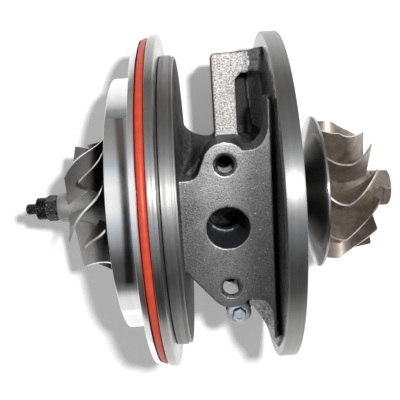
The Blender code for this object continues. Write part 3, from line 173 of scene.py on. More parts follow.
def turned_metal(name, dark, bright, roughness, lines, metallic=1.0, grain=0.0, stretch=0.0, vary=0.25):
    """Metal from a lathe: fine rings all round, a little uneven in colour and gloss.

    With stretch, its highlights run across the rings.
    """
    made, tree, shader = new_material(name, bright, roughness, metallic)
    point = place_in_mm(tree)
    rings = ring_vector(tree, point)
    fine = noise(tree, rings, 5.0, 3.0, 0.7)
    broad = noise(tree, rings, 0.9, 2.0, 0.6)
    cloud = noise(tree, point, 0.12, 3.0, 0.6)
    shade = weighted(tree, fine, 0.4, broad, 0.6)
    shade = weighted(tree, shade, 1.0, math_node(tree, "SUBTRACT", cloud, 0.5), 0.5)
    tree.links.new(mix(tree, span(tree, shade, 0.3, 0.7), dark, bright), shader.inputs["Base Color"])
    rough = math_node(tree, "ADD", span(tree, fine, 0.3, 0.7, roughness * (1 - vary), roughness * (1 + vary)),
                      span(tree, cloud, 0.3, 0.7, -0.12 * roughness, 0.12 * roughness))
    tree.links.new(rough, shader.inputs["Roughness"])
    height = fine
    if grain:
        specks = noise(tree, point, 2.2, 3.0, 0.7)
        height = weighted(tree, fine, 1.0, specks, grain)
    bump(tree, shader, height, lines)
    if stretch:
        shader.inputs["Anisotropic"].default_value = stretch
        shader.inputs["Anisotropic Rotation"].default_value = 0.25
        tangent = node(tree, "ShaderNodeTangent", direction_type="RADIAL", axis="X")
        tree.links.new(tangent.outputs[0], shader.inputs["Tangent"])
    return made


def cast_metal(name, dark, bright, glint_colour, roughness, metallic, depth=0.25, coarse=0.9, glints=0.66):
    """A granular skin with small bright specks, painted glints."""
    made, tree, shader = new_material(name, bright, roughness, metallic)
    point = place_in_mm(tree)
    grains = noise(tree, point, coarse, 4.0, 0.65)
    small = noise(tree, point, coarse * 3.2, 3.0, 0.6)
    cloud = noise(tree, point, 0.09, 3.0, 0.6)
    shade = weighted(tree, grains, 0.6, cloud, 0.4)
    ground = mix(tree, span(tree, shade, 0.41, 0.6), dark, bright)
    # Small bright specks in the colour: painted glints
    glint = span(tree, small, glints, glints + 0.08)
    tree.links.new(mix(tree, glint, ground, glint_colour), shader.inputs["Base Color"])
    tree.links.new(span(tree, grains, 0.3, 0.7, roughness - 0.1, roughness + 0.14),
                   shader.inputs["Roughness"])
    bump(tree, shader, weighted(tree, grains, 1.0, small, 0.35), depth)
    return made


def plain_metal(name, dark, bright, roughness, metallic=1.0, scale=0.6, depth=0.02, painted_shade=None):
    """Smooth metal with a faint uneven tone and grain.

    The last argument is a pair of places along the rotor, between which the colour turns dark: painted shade.
    """
    made, tree, shader = new_material(name, bright, roughness, metallic)
    point = place_in_mm(tree)
    cloud = noise(tree, point, scale, 4.0, 0.65)
    fine = noise(tree, point, scale * 9.0, 2.0, 0.6)
    ground = mix(tree, span(tree, cloud, 0.3, 0.7), dark, bright)
    # Painted shade: the colour turns dark between the two places along the rotor
    if painted_shade:
        along = node(tree, "ShaderNodeSeparateXYZ", {0: point}).outputs[0]
        ground = mix(tree, span(tree, along, *painted_shade), ground, (0.02, 0.019, 0.018))
    tree.links.new(ground, shader.inputs["Base Color"])
    tree.links.new(span(tree, fine, 0.3, 0.7, roughness * 0.85, roughness * 1.15), shader.inputs["Roughness"])
    bump(tree, shader, weighted(tree, fine, 1.0, cloud, 0.6), depth)
    return made


def shot_face():
    """The lug's top: a bright granular skin between dark pits."""
    made, tree, shader = new_material("shot_face", (0.6, 0.57, 0.56), 0.5, 0.5)
    point = place_in_mm(tree)
    grains = noise(tree, point, 1.9, 3.0, 0.75)
    fine = noise(tree, point, 4.5, 2.0, 0.6)
    shade = weighted(tree, grains, 0.65, fine, 0.35)
    tone = ramp(tree, shade, [(0.36, 0.03), (0.44, (0.34, 0.32, 0.31)), (0.5, (0.74, 0.7, 0.68)),
                              (0.57, (1.0, 0.97, 0.95))])
    tree.links.new(tone, shader.inputs["Base Color"])
    bump(tree, shader, shade, 0.45)
    return made


def machined_face():
    """The drain face: milled iron with fine specks and cloudy tones, with a painted highlight down the middle
    that fades to the sides, and painted shade towards -Y.
    """
    made, tree, shader = new_material("machined_face", (0.3, 0.29, 0.28), 0.4, 0.85)
    point = place_in_mm(tree)
    cloud = noise(tree, point, 0.13, 4.0, 0.6)
    specks = noise(tree, point, 2.4, 3.0, 0.7)
    dots = noise(tree, point, 1.9, 2.0, 0.8)
    ground = mix(tree, span(tree, cloud, 0.35, 0.65), (0.17, 0.17, 0.167), (0.36, 0.358, 0.35))
    ground = mix(tree, span(tree, specks, 0.35, 0.65, 0.0, 0.8), ground, (0.5, 0.497, 0.49))
    ground = mix(tree, span(tree, specks, 0.48, 0.3, 0.0, 0.6), ground, (0.08, 0.08, 0.08))
    places = node(tree, "ShaderNodeSeparateXYZ", {0: point}).outputs
    # A painted highlight: the face is brightest near x -2 mm and darker towards both sides
    wander = math_node(tree, "ADD", places[0], span(tree, cloud, 0.3, 0.7, -2.0, 2.0))
    highlight_stops = [(-14, 0.7), (-9, 0.8), (-5, 0.95), (-2, 1.0), (1, 0.92), (3.5, 0.72), (8, 0.4), (14, 0.36)]
    painted_highlight = ramp(tree, span(tree, wander, -14.0, 14.0), [((x + 14) / 28, tone) for x, tone in highlight_stops])
    ground = mix(tree, 1.0, ground, painted_highlight, "MULTIPLY")
    # Painted shade: darker towards -Y
    ground = mix(tree, span(tree, places[1], 25.0, -40.0, 0.0, 0.55), ground, (0.06, 0.061, 0.06))
    ground = mix(tree, span(tree, dots, 0.68, 0.74), ground, (0.85, 0.85, 0.84))
    tree.links.new(ground, shader.inputs["Base Color"])
    tree.links.new(span(tree, specks, 0.3, 0.7, 0.32, 0.5), shader.inputs["Roughness"])
    bump(tree, shader, weighted(tree, specks, 1.0, dots, 0.5), 0.06)
    return made


def painted_lit_thread():
    """The lit wall of a threaded hole: near white, painted light, with the ridges of a 1 mm thread."""
    made, tree, shader = new_material("painted_lit_thread", (0.9, 0.89, 0.88), 0.4, 0.1)
    point = place_in_mm(tree)
    height = node(tree, "ShaderNodeSeparateXYZ", {0: point}).outputs[2]
    ridge = math_node(tree, "SINE", math_node(tree, "MULTIPLY", height, 2 * math.pi))
    grains = noise(tree, point, 1.6, 3.0, 0.7)
    tree.links.new(mix(tree, span(tree, grains, 0.35, 0.65), (0.8, 0.79, 0.78), (1.0, 0.99, 0.98)),
                   shader.inputs["Base Color"])
    bump(tree, shader, weighted(tree, ridge, 0.5, grains, 1.0), 0.45)
    return made


def rubber(name, dark, bright, roughness):
    """Moulded rubber with a faint uneven tone."""
    made, tree, shader = new_material(name, bright, roughness, 0.0)
    point = place_in_mm(tree)
    cloud = noise(tree, point, 0.35, 4.0, 0.7)
    fine = noise(tree, point, 5.0, 2.0, 0.6)
    tree.links.new(mix(tree, span(tree, cloud, 0.3, 0.7), dark, bright), shader.inputs["Base Color"])
    tree.links.new(span(tree, fine, 0.3, 0.7, roughness * 0.85, roughness * 1.15), shader.inputs["Roughness"])
    bump(tree, shader, fine, 0.02)
    return made


CAST = cast_metal("cast_iron", (0.02, 0.021, 0.022), (0.15, 0.15, 0.152), (0.55, 0.55, 0.55), 0.5, 0.45,
                  0.42)
# Painted shade: a near black skin put where shade falls in hollows and under overhangs
SHADE_PAINT = cast_metal("painted_shade_hollow", (0.005, 0.005, 0.006), (0.012, 0.012, 0.013), (0.04, 0.04, 0.04), 0.6, 0.0)
BAND = cast_metal("flange_skin", (0.36, 0.36, 0.36), (0.5, 0.5, 0.5), (0.7, 0.7, 0.7), 0.3, 1.0, 0.02, 1.4)
# Painted light: a bright skin put where the lamp lights the casting
LIGHT_PAINT = cast_metal("painted_light_skin", (0.12, 0.12, 0.12), (0.62, 0.62, 0.61), (0.95, 0.95, 0.95), 0.5, 0.3,
                    0.5, 1.2)
MILLED = machined_face()
SHOT = shot_face()
HOLE = painted_lit_thread()
DUCT = cast_metal("duct_wall", (0.035, 0.04, 0.048), (0.075, 0.085, 0.1), (0.2, 0.2, 0.2), 0.4, 0.3, 0.1, 1.2)
IRON = turned_metal("turned_iron", (0.3, 0.297, 0.293), (0.36, 0.357, 0.352), 0.45, 0.012, 1.0, 0.9, 0.8)
ALUMINIUM = turned_metal("turned_aluminium", (0.8, 0.8, 0.8), (0.92, 0.92, 0.92), 0.035, 0.0001)
DISC = turned_metal("turned_disc", (0.34, 0.337, 0.333), (0.42, 0.417, 0.412), 0.58, 0.012, 1.0, 0.9, 0.8)
RIM = turned_metal("rim_aluminium", (0.36, 0.355, 0.35), (0.46, 0.455, 0.45), 0.25, 0.004, 1.0, 0.4, 0.6, 0.4)
# The wheel's colour turns dark towards the plate, between x -46.5 and -42.5 mm: painted shade
WHEEL = plain_metal("wheel_aluminium", (0.27, 0.262, 0.25), (0.35, 0.342, 0.33), 0.5, 0.55, 0.5, 0.03,
                    (-46.5, -42.5))
WHEEL_EDGE = plain_metal("wheel_edge", (0.8, 0.79, 0.77), (0.95, 0.94, 0.92), 0.3, 0.9, 0.8, 0.01)
NICKEL = plain_metal("nickel_alloy", (0.24, 0.2, 0.165), (0.44, 0.38, 0.325), 0.42, 0.8, 0.3, 0.04)
NICKEL_EDGE = plain_metal("nickel_edge", (0.55, 0.5, 0.46), (0.85, 0.79, 0.74), 0.3, 0.95, 0.8, 0.01)
NICKEL_TURNED = turned_metal("nickel_turned", (0.36, 0.35, 0.335), (0.5, 0.485, 0.46), 0.2, 0.001, 1.0,
                             0.0, 0.8, 0.1)
BLACK = cast_metal("black_oxide", (0.005, 0.005, 0.006), (0.014, 0.014, 0.016), (0.95, 0.95, 0.95), 0.35, 0.5,
                   0.06, 0.8, 0.63)
ZINC = plain_metal("zinc_plate", (0.5, 0.58, 0.62), (0.8, 0.87, 0.91), 0.42, 0.85, 1.3, 0.09)
GROUND = plain_metal("ground_steel", (0.4, 0.4, 0.41), (0.58, 0.58, 0.6), 0.28, 1.0, 0.7, 0.01)
SHEET = plain_metal("sheet_steel", (0.3, 0.3, 0.31), (0.42, 0.42, 0.43), 0.3, 1.0, 0.3, 0.02)
BRONZE = plain_metal("bearing_bronze", (0.42, 0.27, 0.12), (0.6, 0.4, 0.19), 0.32, 1.0, 0.6, 0.02)
RED = rubber("red_rubber", (0.62, 0.055, 0.022), (0.8, 0.085, 0.035), 0.42)
DARK_RUBBER = rubber("black_rubber", (0.012, 0.012, 0.012), (0.03, 0.03, 0.03), 0.55)

CARRIED = {
    "housing_seal_ring": DARK_RUBBER, "thrust_bearing": BRONZE, "compressor_journal_bearing": BRONZE,
    "turbine_journal_bearing": BRONZE, "oil_deflector": SHEET, "backplate_screw_1": ZINC,
    "backplate_screw_2": ZINC, "backplate_screw_3": ZINC, "backplate_screw_4": ZINC,
}


# Meshes

def finish_mesh(name, mesh, materials, body, replaced=(), sharp=32.0):
    """Turn a mesh in millimetres into a piece that rides on a body."""
    mesh.transform(Matrix.Scale(0.001, 4))
    for material in materials:
        mesh.materials.append(material)
    mesh.shade_smooth()
    if sharp:
        mesh.set_sharp_from_angle(angle=math.radians(sharp))
    piece = bpy.data.objects.new(name, mesh)
    bpy.context.scene.collection.objects.link(piece)
    piece.location = ORIGIN
    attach(piece, body)
    if replaced:
        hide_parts(*replaced)
    return piece


def mesh_from(name, points, faces, material_index=None):
    mesh = bpy.data.meshes.new(name)
    mesh.from_pydata([tuple(map(float, point)) for point in points], [], [tuple(map(int, f)) for f in faces])
    if material_index is not None:
        mesh.polygons.foreach_set("material_index", np.asarray(material_index, dtype=np.int32))
    mesh.update()
    return mesh


def face_out(mesh):
    """Point all faces of a closed mesh outwards."""
    shape = bmesh.new()
    shape.from_mesh(mesh)
    bmesh.ops.recalc_face_normals(shape, faces=shape.faces)
    shape.to_mesh(mesh)
    shape.free()
    return mesh


def lathe(name, profile, segments=224, materials=None):
    """A closed profile of (x, radius) turned about the rotor axis; materials by profile step."""
    turns = np.arange(segments) * 2 * np.pi / segments
    rows = np.array([[(x, r * math.sin(t), r * math.cos(t)) for t in turns] for x, r in profile])
    count = len(profile)
    faces, index = [], []
    for i in range(count):
        j = (i + 1) % count
        for k in range(segments):
            m = (k + 1) % segments
            faces.append((i * segments + k, j * segments + k, j * segments + m, i * segments + m))
            index.append(materials[i] if materials else 0)
    return face_out(mesh_from(name, rows.reshape(-1, 3), faces, index))


def arc(centre, radius, start, end, steps):
    """Points on an arc, both ends included, angles in degrees."""
    return [(centre[0] + radius * math.cos(math.radians(start + (end - start) * i / steps)),
             centre[1] + radius * math.sin(math.radians(start + (end - start) * i / steps)))
            for i in range(steps + 1)]


def boolean(mesh, tool, operation="DIFFERENCE"):
    """The mesh after one exact Boolean with a tool mesh."""
    body = bpy.data.objects.new("body", mesh)
    other = bpy.data.objects.new("tool", tool)
    for made in (body, other):
        bpy.context.scene.collection.objects.link(made)
    step = body.modifiers.new("cut", "BOOLEAN")
    step.operation = operation
    step.solver = "EXACT"
    step.object = other
    bpy.context.view_layer.update()
    result = bpy.data.meshes.new_from_object(body.evaluated_get(bpy.context.evaluated_depsgraph_get()))
    bpy.data.objects.remove(body)
    bpy.data.objects.remove(other)
    return result


def bar(name, start, end, radius, sides, turn=0.0, tip_radius=None):
    """A straight bar or cone between two points, turned about itself."""
    start, end = Vector(start), Vector(end)
    mesh = bpy.data.meshes.new(name)
    shape = bmesh.new()
    bmesh.ops.create_cone(shape, cap_ends=True, segments=sides, radius1=radius,
                          radius2=radius if tip_radius is None else tip_radius, depth=(end - start).length,
                          matrix=Matrix.Rotation(math.radians(-turn), 4, "Z"))
    shape.to_mesh(mesh)
    shape.free()
    turned = (end - start).to_track_quat("Z", "Y").to_matrix().to_4x4()
    mesh.transform(Matrix.Translation((start + end) / 2) @ turned)
    return mesh


# The casting, drawn as a field of distances and then meshed

def polygon_distance(points, x, y):
    """Signed distance in the plane to a closed outline, negative inside."""
    points = np.array(points, dtype=float)
    best = np.full(np.broadcast(x, y).shape, 1e9)
    inside = np.zeros(best.shape, dtype=bool)
    for (ax, ay), (bx, by) in zip(points, np.roll(points, -1, axis=0)):
        ex, ey = bx - ax, by - ay
        share = np.clip(((x - ax) * ex + (y - ay) * ey) / (ex * ex + ey * ey), 0.0, 1.0)
        best = np.minimum(best, (x - ax - share * ex) ** 2 + (y - ay - share * ey) ** 2)
        if ey != 0:
            crossing = ((y < ay) != (y < by)) & (x < ax + (y - ay) * ex / ey)
            inside ^= crossing
    return np.where(inside, -1.0, 1.0) * np.sqrt(best)


def blended(first, second, reach):
    """Union of two fields with a fillet."""
    part = np.maximum(reach - np.abs(first - second), 0.0) / reach
    return np.minimum(first, second) - part * part * reach / 4


def carved(body, tool, reach=0.0):
    """A field less another, with a rounded edge."""
    if reach:
        return -blended(-body, tool, reach)
    return np.maximum(body, -tool)


def extruded(flat, z, low, high, rounding=0.0):
    """A flat field drawn out from low to high, its edges rounded."""
    a = flat + rounding
    b = np.abs(z - (low + high) / 2) - (high - low) / 2 + rounding
    return np.minimum(np.maximum(a, b), 0.0) + np.hypot(np.maximum(a, 0.0), np.maximum(b, 0.0)) - rounding


def surface_net(field, low, step):
    """The surface where a field on a grid changes sign: one corner per crossed cell, in quads."""
    inside = field < 0
    shape = tuple(n - 1 for n in field.shape)
    total = np.zeros(shape, dtype=np.int8)
    for i in (0, 1):
        for j in (0, 1):
            for k in (0, 1):
                total += inside[i:i + shape[0], j:j + shape[1], k:k + shape[2]]
    cells = np.argwhere((total > 0) & (total < 8))
    number = np.full(shape, -1, dtype=np.int64)
    number[tuple(cells.T)] = np.arange(len(cells))
    place = np.zeros((len(cells), 3))
    count = np.zeros(len(cells))
    for axis in range(3):
        others = [a for a in range(3) if a != axis]
        for i in (0, 1):
            for j in (0, 1):
                offset = np.zeros(3, dtype=int)
                offset[others[0]], offset[others[1]] = i, j
                far = offset.copy()
                far[axis] = 1
                a = field[tuple((cells + offset).T)]
                b = field[tuple((cells + far).T)]
                crossed = (a < 0) != (b < 0)
                share = np.where(crossed, a / np.where(crossed, a - b, 1.0), 0.0)
                spot = np.tile(offset.astype(float), (len(cells), 1))
                spot[:, axis] = share
                place[crossed] += spot[crossed]
                count += crossed
    points = np.asarray(low) + step * (cells + place / count[:, None])
    faces = []
    for axis in range(3):
        b, c = (axis + 1) % 3, (axis + 2) % 3
        near = np.take(inside, range(field.shape[axis] - 1), axis=axis)
        far = np.take(inside, range(1, field.shape[axis]), axis=axis)
        nodes = np.argwhere(near != far)
        keep = (nodes[:, b] > 0) & (nodes[:, c] > 0) & (nodes[:, b] < shape[b]) & (nodes[:, c] < shape[c])
        nodes = nodes[keep]
        step_b, step_c = np.eye(3, dtype=int)[b], np.eye(3, dtype=int)[c]
        quad = np.stack([number[tuple((nodes + o).T)] for o in
                         (-step_b - step_c, -step_c, 0 * step_b, -step_b)], axis=1)
        outward = near[tuple(nodes.T)]
        quad[~outward] = quad[~outward][:, ::-1]
        faces.append(quad)
    return points, np.concatenate(faces)


def horn():
    """Half outline of the drain flange from the valley beside a bolt boss to the horn's tip."""
    points = [(7.7, 23.1)]
    for i in range(1, 13):
        swing = math.radians(90 * i / 12)
        points.append((7.7 + 4.9 * math.sin(swing), 23.1 + 7.5 * (1 - math.cos(swing))))
    return points + [(12.7, 36.8), (13.4, 36.8)]


def drain_outline():
    """Outline of the drain flange's face, from the mouth disc round both holes and horns."""
    points = [(disc_right - 0.3, 15.1)]
    points += arc((-10.8, 18.3), 3.2, 270, 340, 8)
    points += arc((0.0, HOLE_Y), 6.6, 150, 35, 20)
    points += horn()
    points += [(x, -y) for x, y in reversed(horn())]
    points += arc((0.0, -HOLE_Y), 6.6, 325, 220, 20)
    return points + [(disc_right - 0.3, -12.3)]


def drain_column():
    """Outline of the column that carries the drain flange."""
    points = [(disc_right - 0.3, 13.1)]
    points += arc((-3.3, 15.4), 6.6, 150, 90, 8)
    points += arc((6.5, 15.4), 6.6, 90, 0, 10)
    points += arc((6.5, -15.4), 6.6, 360, 270, 10)
    points += arc((-3.3, -15.4), 6.6, 270, 240, 4)
    return points + [(disc_right - 0.3, -10.3)]


def casting_field(x, y, z):
    """The cast and milled body between the two turned discs."""
    radius = np.sqrt(y * y + z * z)
    across, up = x[:, :, 0:1], y[:, :, 0:1]

    # Barrel, fillet of the mouth disc, and drain column
    barrel, disc_edge, fillet = 22.5, 49.4, 11.0
    body = blended(radius - barrel, np.maximum(x - disc_right, radius - disc_edge), fillet)
    column = polygon_distance(drain_column(), across, up) - 0.04 * (30 - z)
    column = extruded(column, z, 5.0, 30.5, 0.5)
    body = blended(body, column, 3.0)

    # Lug with its neck and the web behind its pocket, then the inside of the flange
    bar_outline = [(-1.8, 16.5), (5.8, 16.5), (5.8, 41.6), (7.8, 43.6), (9.2, 43.6), (9.2, 50.2)]
    bar_outline += arc((-0.2, 48.6), 1.6, 90, 180, 6)
    lug = extruded(polygon_distance(bar_outline, across, up), z, -15.0, LUG_TOP, 0.9)
    neck_outline = [(7.2, 44.2), (12.6, 43.6), (15.2, 42.3), (15.2, 51.5), (12.6, 50.85), (7.2, 49.6)]
    neck = extruded(polygon_distance(neck_outline, across, up), z, -14.0, 10.2, 0.8)
    lug = blended(lug, neck, 1.5)
    web_outline = [(-0.2, 16.5), (15.2, 16.5), (15.2, 50.2), (-0.2, 49.6)]
    web = extruded(polygon_distance(web_outline, across, up), z, -14.4, -10.5, 0.5)
    lug = blended(lug, web, 1.5)
    body = blended(body, np.maximum(flange_left - x, radius - 48.0), 4.0)
    body = blended(body, lug, 2.5)

    # Sloping gusset in the lug's pocket
    slope = np.array(np.cross((2.4, -21.0, 0.0), (3.8, -9.2, 16.0)))
    slope /= np.linalg.norm(slope) * np.sign(slope[2])
    gusset = (x - 11.1) * slope[0] + (y - 41.4) * slope[1] + (z + 9.0) * slope[2]
    gusset = np.maximum(np.maximum(gusset, -12.0 - z), np.maximum(np.maximum(20.0 - y, y - 43.5), 10.0 - x))
    body = blended(body, np.maximum(gusset, x - 15.5), 1.5)

    # Bolt's ear and the low web beside it, and the oil inlet's boss
    ear = np.maximum(np.hypot(x - EAR_X, y - EAR_Y) - 4.1, np.abs(z - 5.0) - 10.0)
    ear_web = np.maximum(np.abs(y + 27.25) - 10.75, np.abs(z - 4.0) - 8.0)
    ear = blended(ear, np.maximum(np.abs(x - EAR_X) - 4.1, ear_web), 1.5)
    low_web = [(4.5, -24.0), (4.5, -35.5), (8.0, -37.0), (11.5, -41.8), (13.4, -46.0), (15.2, -50.0),
               (15.2, -24.0)]
    low_web = extruded(polygon_distance(low_web, across, up), z, -6.0, 13.5, 1.0)
    body = blended(body, blended(ear, low_web, 1.5), 3.0)
    inlet = np.maximum(np.hypot(x - INLET_X, y + 0 * z) - 8.5, np.maximum(z + 20.0, -31.0 - z))
    body = blended(body, inlet, 2.0)

    # Drain flange, its sloping shoulder, and the slot and ties behind its horns
    edge = polygon_distance(drain_outline(), across, up)
    plate = extruded(edge, z, 25.0, FACE)
    shoulder = [(5.4, -21.0), (5.4, -26.6), (6.5, -28.2), (9.9, -32.6), (12.6, -39.4), (14.3, -44.5),
                (15.2, -46.5), (15.2, -21.0)]
    shoulder = extruded(polygon_distance(shoulder, across, up), z, 12.0, FACE + 2, 0.8)
    shoulder = np.maximum(shoulder, 0.67 * (z - FACE + 1.1 * np.maximum(edge, 0.0) + 0.25))
    slot = np.maximum(np.abs(x - 14.3) - 0.9, np.maximum(np.abs(y) - 36.8, 20.0 - z))
    plate = np.minimum(plate, np.maximum(shoulder, -slot))
    for side in (1, -1):
        tie = np.maximum(np.abs(y - 36.3 * side) - 0.7, np.abs(z - 26.0) - 3.0)
        plate = np.minimum(plate, np.maximum(np.abs(x - 14.0) - 1.2, tie))
    body = np.minimum(body, plate)

    # Oil chamber, rotor bore, drain hole, threaded holes, oil inlet and bolt hole
    cavity = np.maximum(np.maximum(10.1 - radius, radius - 18.0), np.maximum(-8.8 - x, x - 15.5))
    web = np.maximum(np.abs(x - INLET_X) - 8.5, np.maximum(np.abs(y) - 4.0, z))
    body = carved(body, np.maximum(cavity, -web))
    bore = np.where(x < -13.15, 15.6, np.where(x < -11.5, 10.5, 6.8))
    body = carved(body, radius - bore)
    body = carved(body, np.maximum(np.hypot(x, y) - 5.95, 12.0 - z))
    body = carved(body, np.maximum(np.hypot(x, y) - DRAIN_RADIUS, 20.5 - z))
    for side in (1, -1):
        middle = np.hypot(x, y - HOLE_Y * side)
        body = carved(body, np.maximum(middle - THREAD_RADIUS, 14.0 - z))
        body = carved(body, np.maximum(middle - THREAD_RADIUS - (z - 37.2), 36.0 - z))
    body = carved(body, np.maximum(np.hypot(x - INLET_X, y) - 4.6, z + 22.0))
    body = carved(body, np.maximum(np.hypot(x - INLET_X, y) - 1.2, z + 6.0))
    body = carved(body, np.maximum(np.hypot(x - EAR_X, y - EAR_Y) - 2.3, np.abs(z - 9.0) - 6.4))
    return np.maximum(body, np.maximum(-15.6 - x, x - 16.6))


def housing_casting():
    """The casting as one mesh, with its milled faces told apart."""
    xs = np.arange(-16.47, 17.6, STEP)
    ys = np.arange(-50.83, 52.6, STEP)
    zs = np.arange(-50.87, 50.6, STEP)
    field = casting_field(xs[:, None, None], ys[None, :, None], zs[None, None, :])
    points, faces = surface_net(field, (xs[0], ys[0], zs[0]), STEP)
    corners = points[faces]
    middle = corners.mean(axis=1)
    normal = np.cross(corners[:, 2] - corners[:, 0], corners[:, 3] - corners[:, 1])
    normal /= np.linalg.norm(normal, axis=1)[:, None] + 1e-12
    x, y, z = middle.T
    left, up = normal[:, 0], normal[:, 2]
    skins = [CAST, MILLED, SHOT, HOLE, DUCT, LIGHT_PAINT, SHADE_PAINT]
    milled, shot, thread, duct, painted_light, painted_shade = range(1, 7)
    index = np.zeros(len(faces), dtype=int)
    index[(z > FACE - 0.3) & (up > 0.5) & (np.abs(y) < 38) & (x > disc_right) & (x < 14.5)] = milled

    # Top of the lug and of its neck
    top = (z < LUG_TOP + 0.2) & (up > 0.6) & (x > -2)
    index[top & (z > LUG_TOP - 1.0) & (y > 23.5) & (x < 10)] = shot
    lit = (x < 8.0) | (np.hypot(x - 6.4, y - 47.2) < 4.2)
    index[top & (z > LUG_TOP - 3.5) & (y > 43.0) & lit] = shot

    # Threaded holes: a cast rim, threads painted bright where the lamp falls as painted light, and painted
    # shade where no light falls
    for side in (1, -1):
        from_hole = y - HOLE_Y * side
        reach = np.hypot(x, from_hole)
        index[(reach < THREAD_RADIUS + 1.0) & (z > 36.6) & (up < 0.9)] = 0
        wall = (reach < THREAD_RADIUS + 0.3) & (z > 13.5) & (z < 36.6)
        dark = (z < 28.0 + side) | ((x > 1.4) & (from_hole > -1.5))
        index[wall] = thread
        index[wall & dark] = painted_shade

    # Drain hole with its ledge, whose lit part is painted bright as a painted highlight
    inside = np.hypot(x, y) < DRAIN_RADIUS + 0.2
    index[inside & (z > 11.0) & (z < FACE - 0.1)] = duct
    index[inside & (z > 19.4) & (z < 21.2) & (up > 0.2) & (x > -4.5) & (x < 2.0)] = painted_light

    # Pocket beside the lug with its gusset, the hollow left of the upper hole, and the shoulder, in painted
    # shade and painted light
    pocket = (y > 24) & (y < 43.4)
    # Painted shade in the pocket and on its gusset
    index[pocket & (x > 5.9) & (x < 10.4) & (z < 4.0) & (z > -11.5)] = painted_shade
    index[pocket & (x > 10.4) & (x < 15.4) & (z < 9.0) & (z > -13.0)] = painted_shade
    # Painted light on the gusset's faces towards -X
    index[pocket & (x > 11.0) & (x < 15.4) & (z < 9.0) & (z > -11.0) & (left < -0.6)] = shot
    # Painted shade in the hollow under the drain flange's overhang, left of the upper hole
    index[(x > -10.0) & (x < -2.0) & (y > 12) & (y < 26) & (z > 0.0) & (z < FACE - 1.5)] = painted_shade
    low = (x > 5.0) & (x < 15.0) & (y < -24) & (y > -46.5)
    # Painted light on the shoulder's upward faces
    index[low & (z > 15.0) & (z < FACE - 0.3) & (up > 0.3)] = painted_light
    mesh = mesh_from("housing_casting", points, faces, index)
    return finish_mesh("housing_casting", mesh, skins, "housing", ["bearing_housing"], sharp=0)


def housing_discs():
    """The two turned discs of the housing."""
    mouth = [
        (housing_left, 15.6), (housing_left, 50.35), (housing_left + 0.12, 50.6), (housing_left + 0.4, 50.7),
        (-15.35, 50.7), (-15.22, 50.6), (-15.2, 50.4), (-15.2, 49.9), (-14.5, 49.9), (-14.5, 50.15),
        (-14.38, 50.3), (-14.05, 50.3), (-13.93, 50.2), (disc_right, 50.0), (disc_right, 49.2), (-14.3, 49.1),
        (-14.3, 15.6),
    ]
    finish_mesh("housing_mouth_disc", lathe("housing_mouth_disc", mouth), [DISC], "housing",
                ["bearing_housing"])
    flange = [
        (16.2, 9.0), (boss_right, 9.0), (boss_right, 21.3), (boss_right - 0.3, 21.6), (19.7, 21.6),
        (19.7, 26.0), (flange_right, 26.0), (flange_right, 55.85), (flange_right - 0.12, 56.15),
        (flange_right - 0.4, 56.3), (flange_left + 0.4, 56.3), (flange_left + 0.12, 56.15),
        (flange_left, 55.85), (flange_left, 51.2), (flange_left + 0.35, 50.9), (flange_left + 0.35, 50.2),
        (flange_left, 49.9), (flange_left, 48.4), (flange_left + 0.35, 48.1), (flange_left + 0.35, 47.6),
        (16.2, 47.0),
    ]
    skins = [0] * 12 + [1] + [2] * 8
    turned = lathe("housing_turbine_flange", flange, 224, skins)
    finish_mesh("housing_turbine_flange", turned, [IRON, BAND, CAST], "housing",
                ["bearing_housing"])


def back_plate():
    """The turned aluminium plate with its spigot, lip, ring groove and rim."""
    profile = [
        (plate_front, 7.3), (plate_front, 43.75), (plate_front + 0.1, 44.0), (plate_front + 0.35, 44.1),
        (plate_front + 0.45, 44.1), (lip_left - 1.0, 44.1), (lip_left - 0.9, 44.1), (lip_left - 0.35, 44.35),
        (lip_left, 44.9), (lip_left, 56.1),
        (lip_left + 0.1, 56.3), (lip_left + 0.3, 56.4), (groove_left - 0.15, 56.4), (groove_left, 56.25),
        (groove_left, 53.9), (groove_right, 53.9), (groove_right, 57.25), (groove_right + 0.08, 57.42),
        (groove_right + 0.25, 57.5), (groove_right + 0.35, 57.5), (plate_back - 0.5, 57.5),
        (plate_back - 0.4, 57.5), (plate_back - 0.12, 57.35), (plate_back, 57.1),
        (plate_back, 38.5), (-29.5, 37.6), (-30.3, 35.5), (-30.3, 28.7), (plate_back, 27.5),
        (plate_back, 15.6), (-22.45, 15.6), (-22.45, 7.3),
    ]
    skins = [0] * 15 + [1] * (len(profile) - 15)
    turned = lathe("backplate_turned", profile, 256, skins)
    finish_mesh("backplate_turned", turned, [ALUMINIUM, RIM], "housing",
                ["compressor_backplate"])
    middle = (groove_left + groove_right) / 2
    section = [(middle + 1.2 * math.cos(2 * math.pi * i / 20), 55.6 + 1.08 * math.sin(2 * math.pi * i / 20))
               for i in range(20)]
    finish_mesh("rim_o_ring", lathe("rim_o_ring", section, 256), [RED], "housing",
                ["backplate_o_ring"])


# Blades

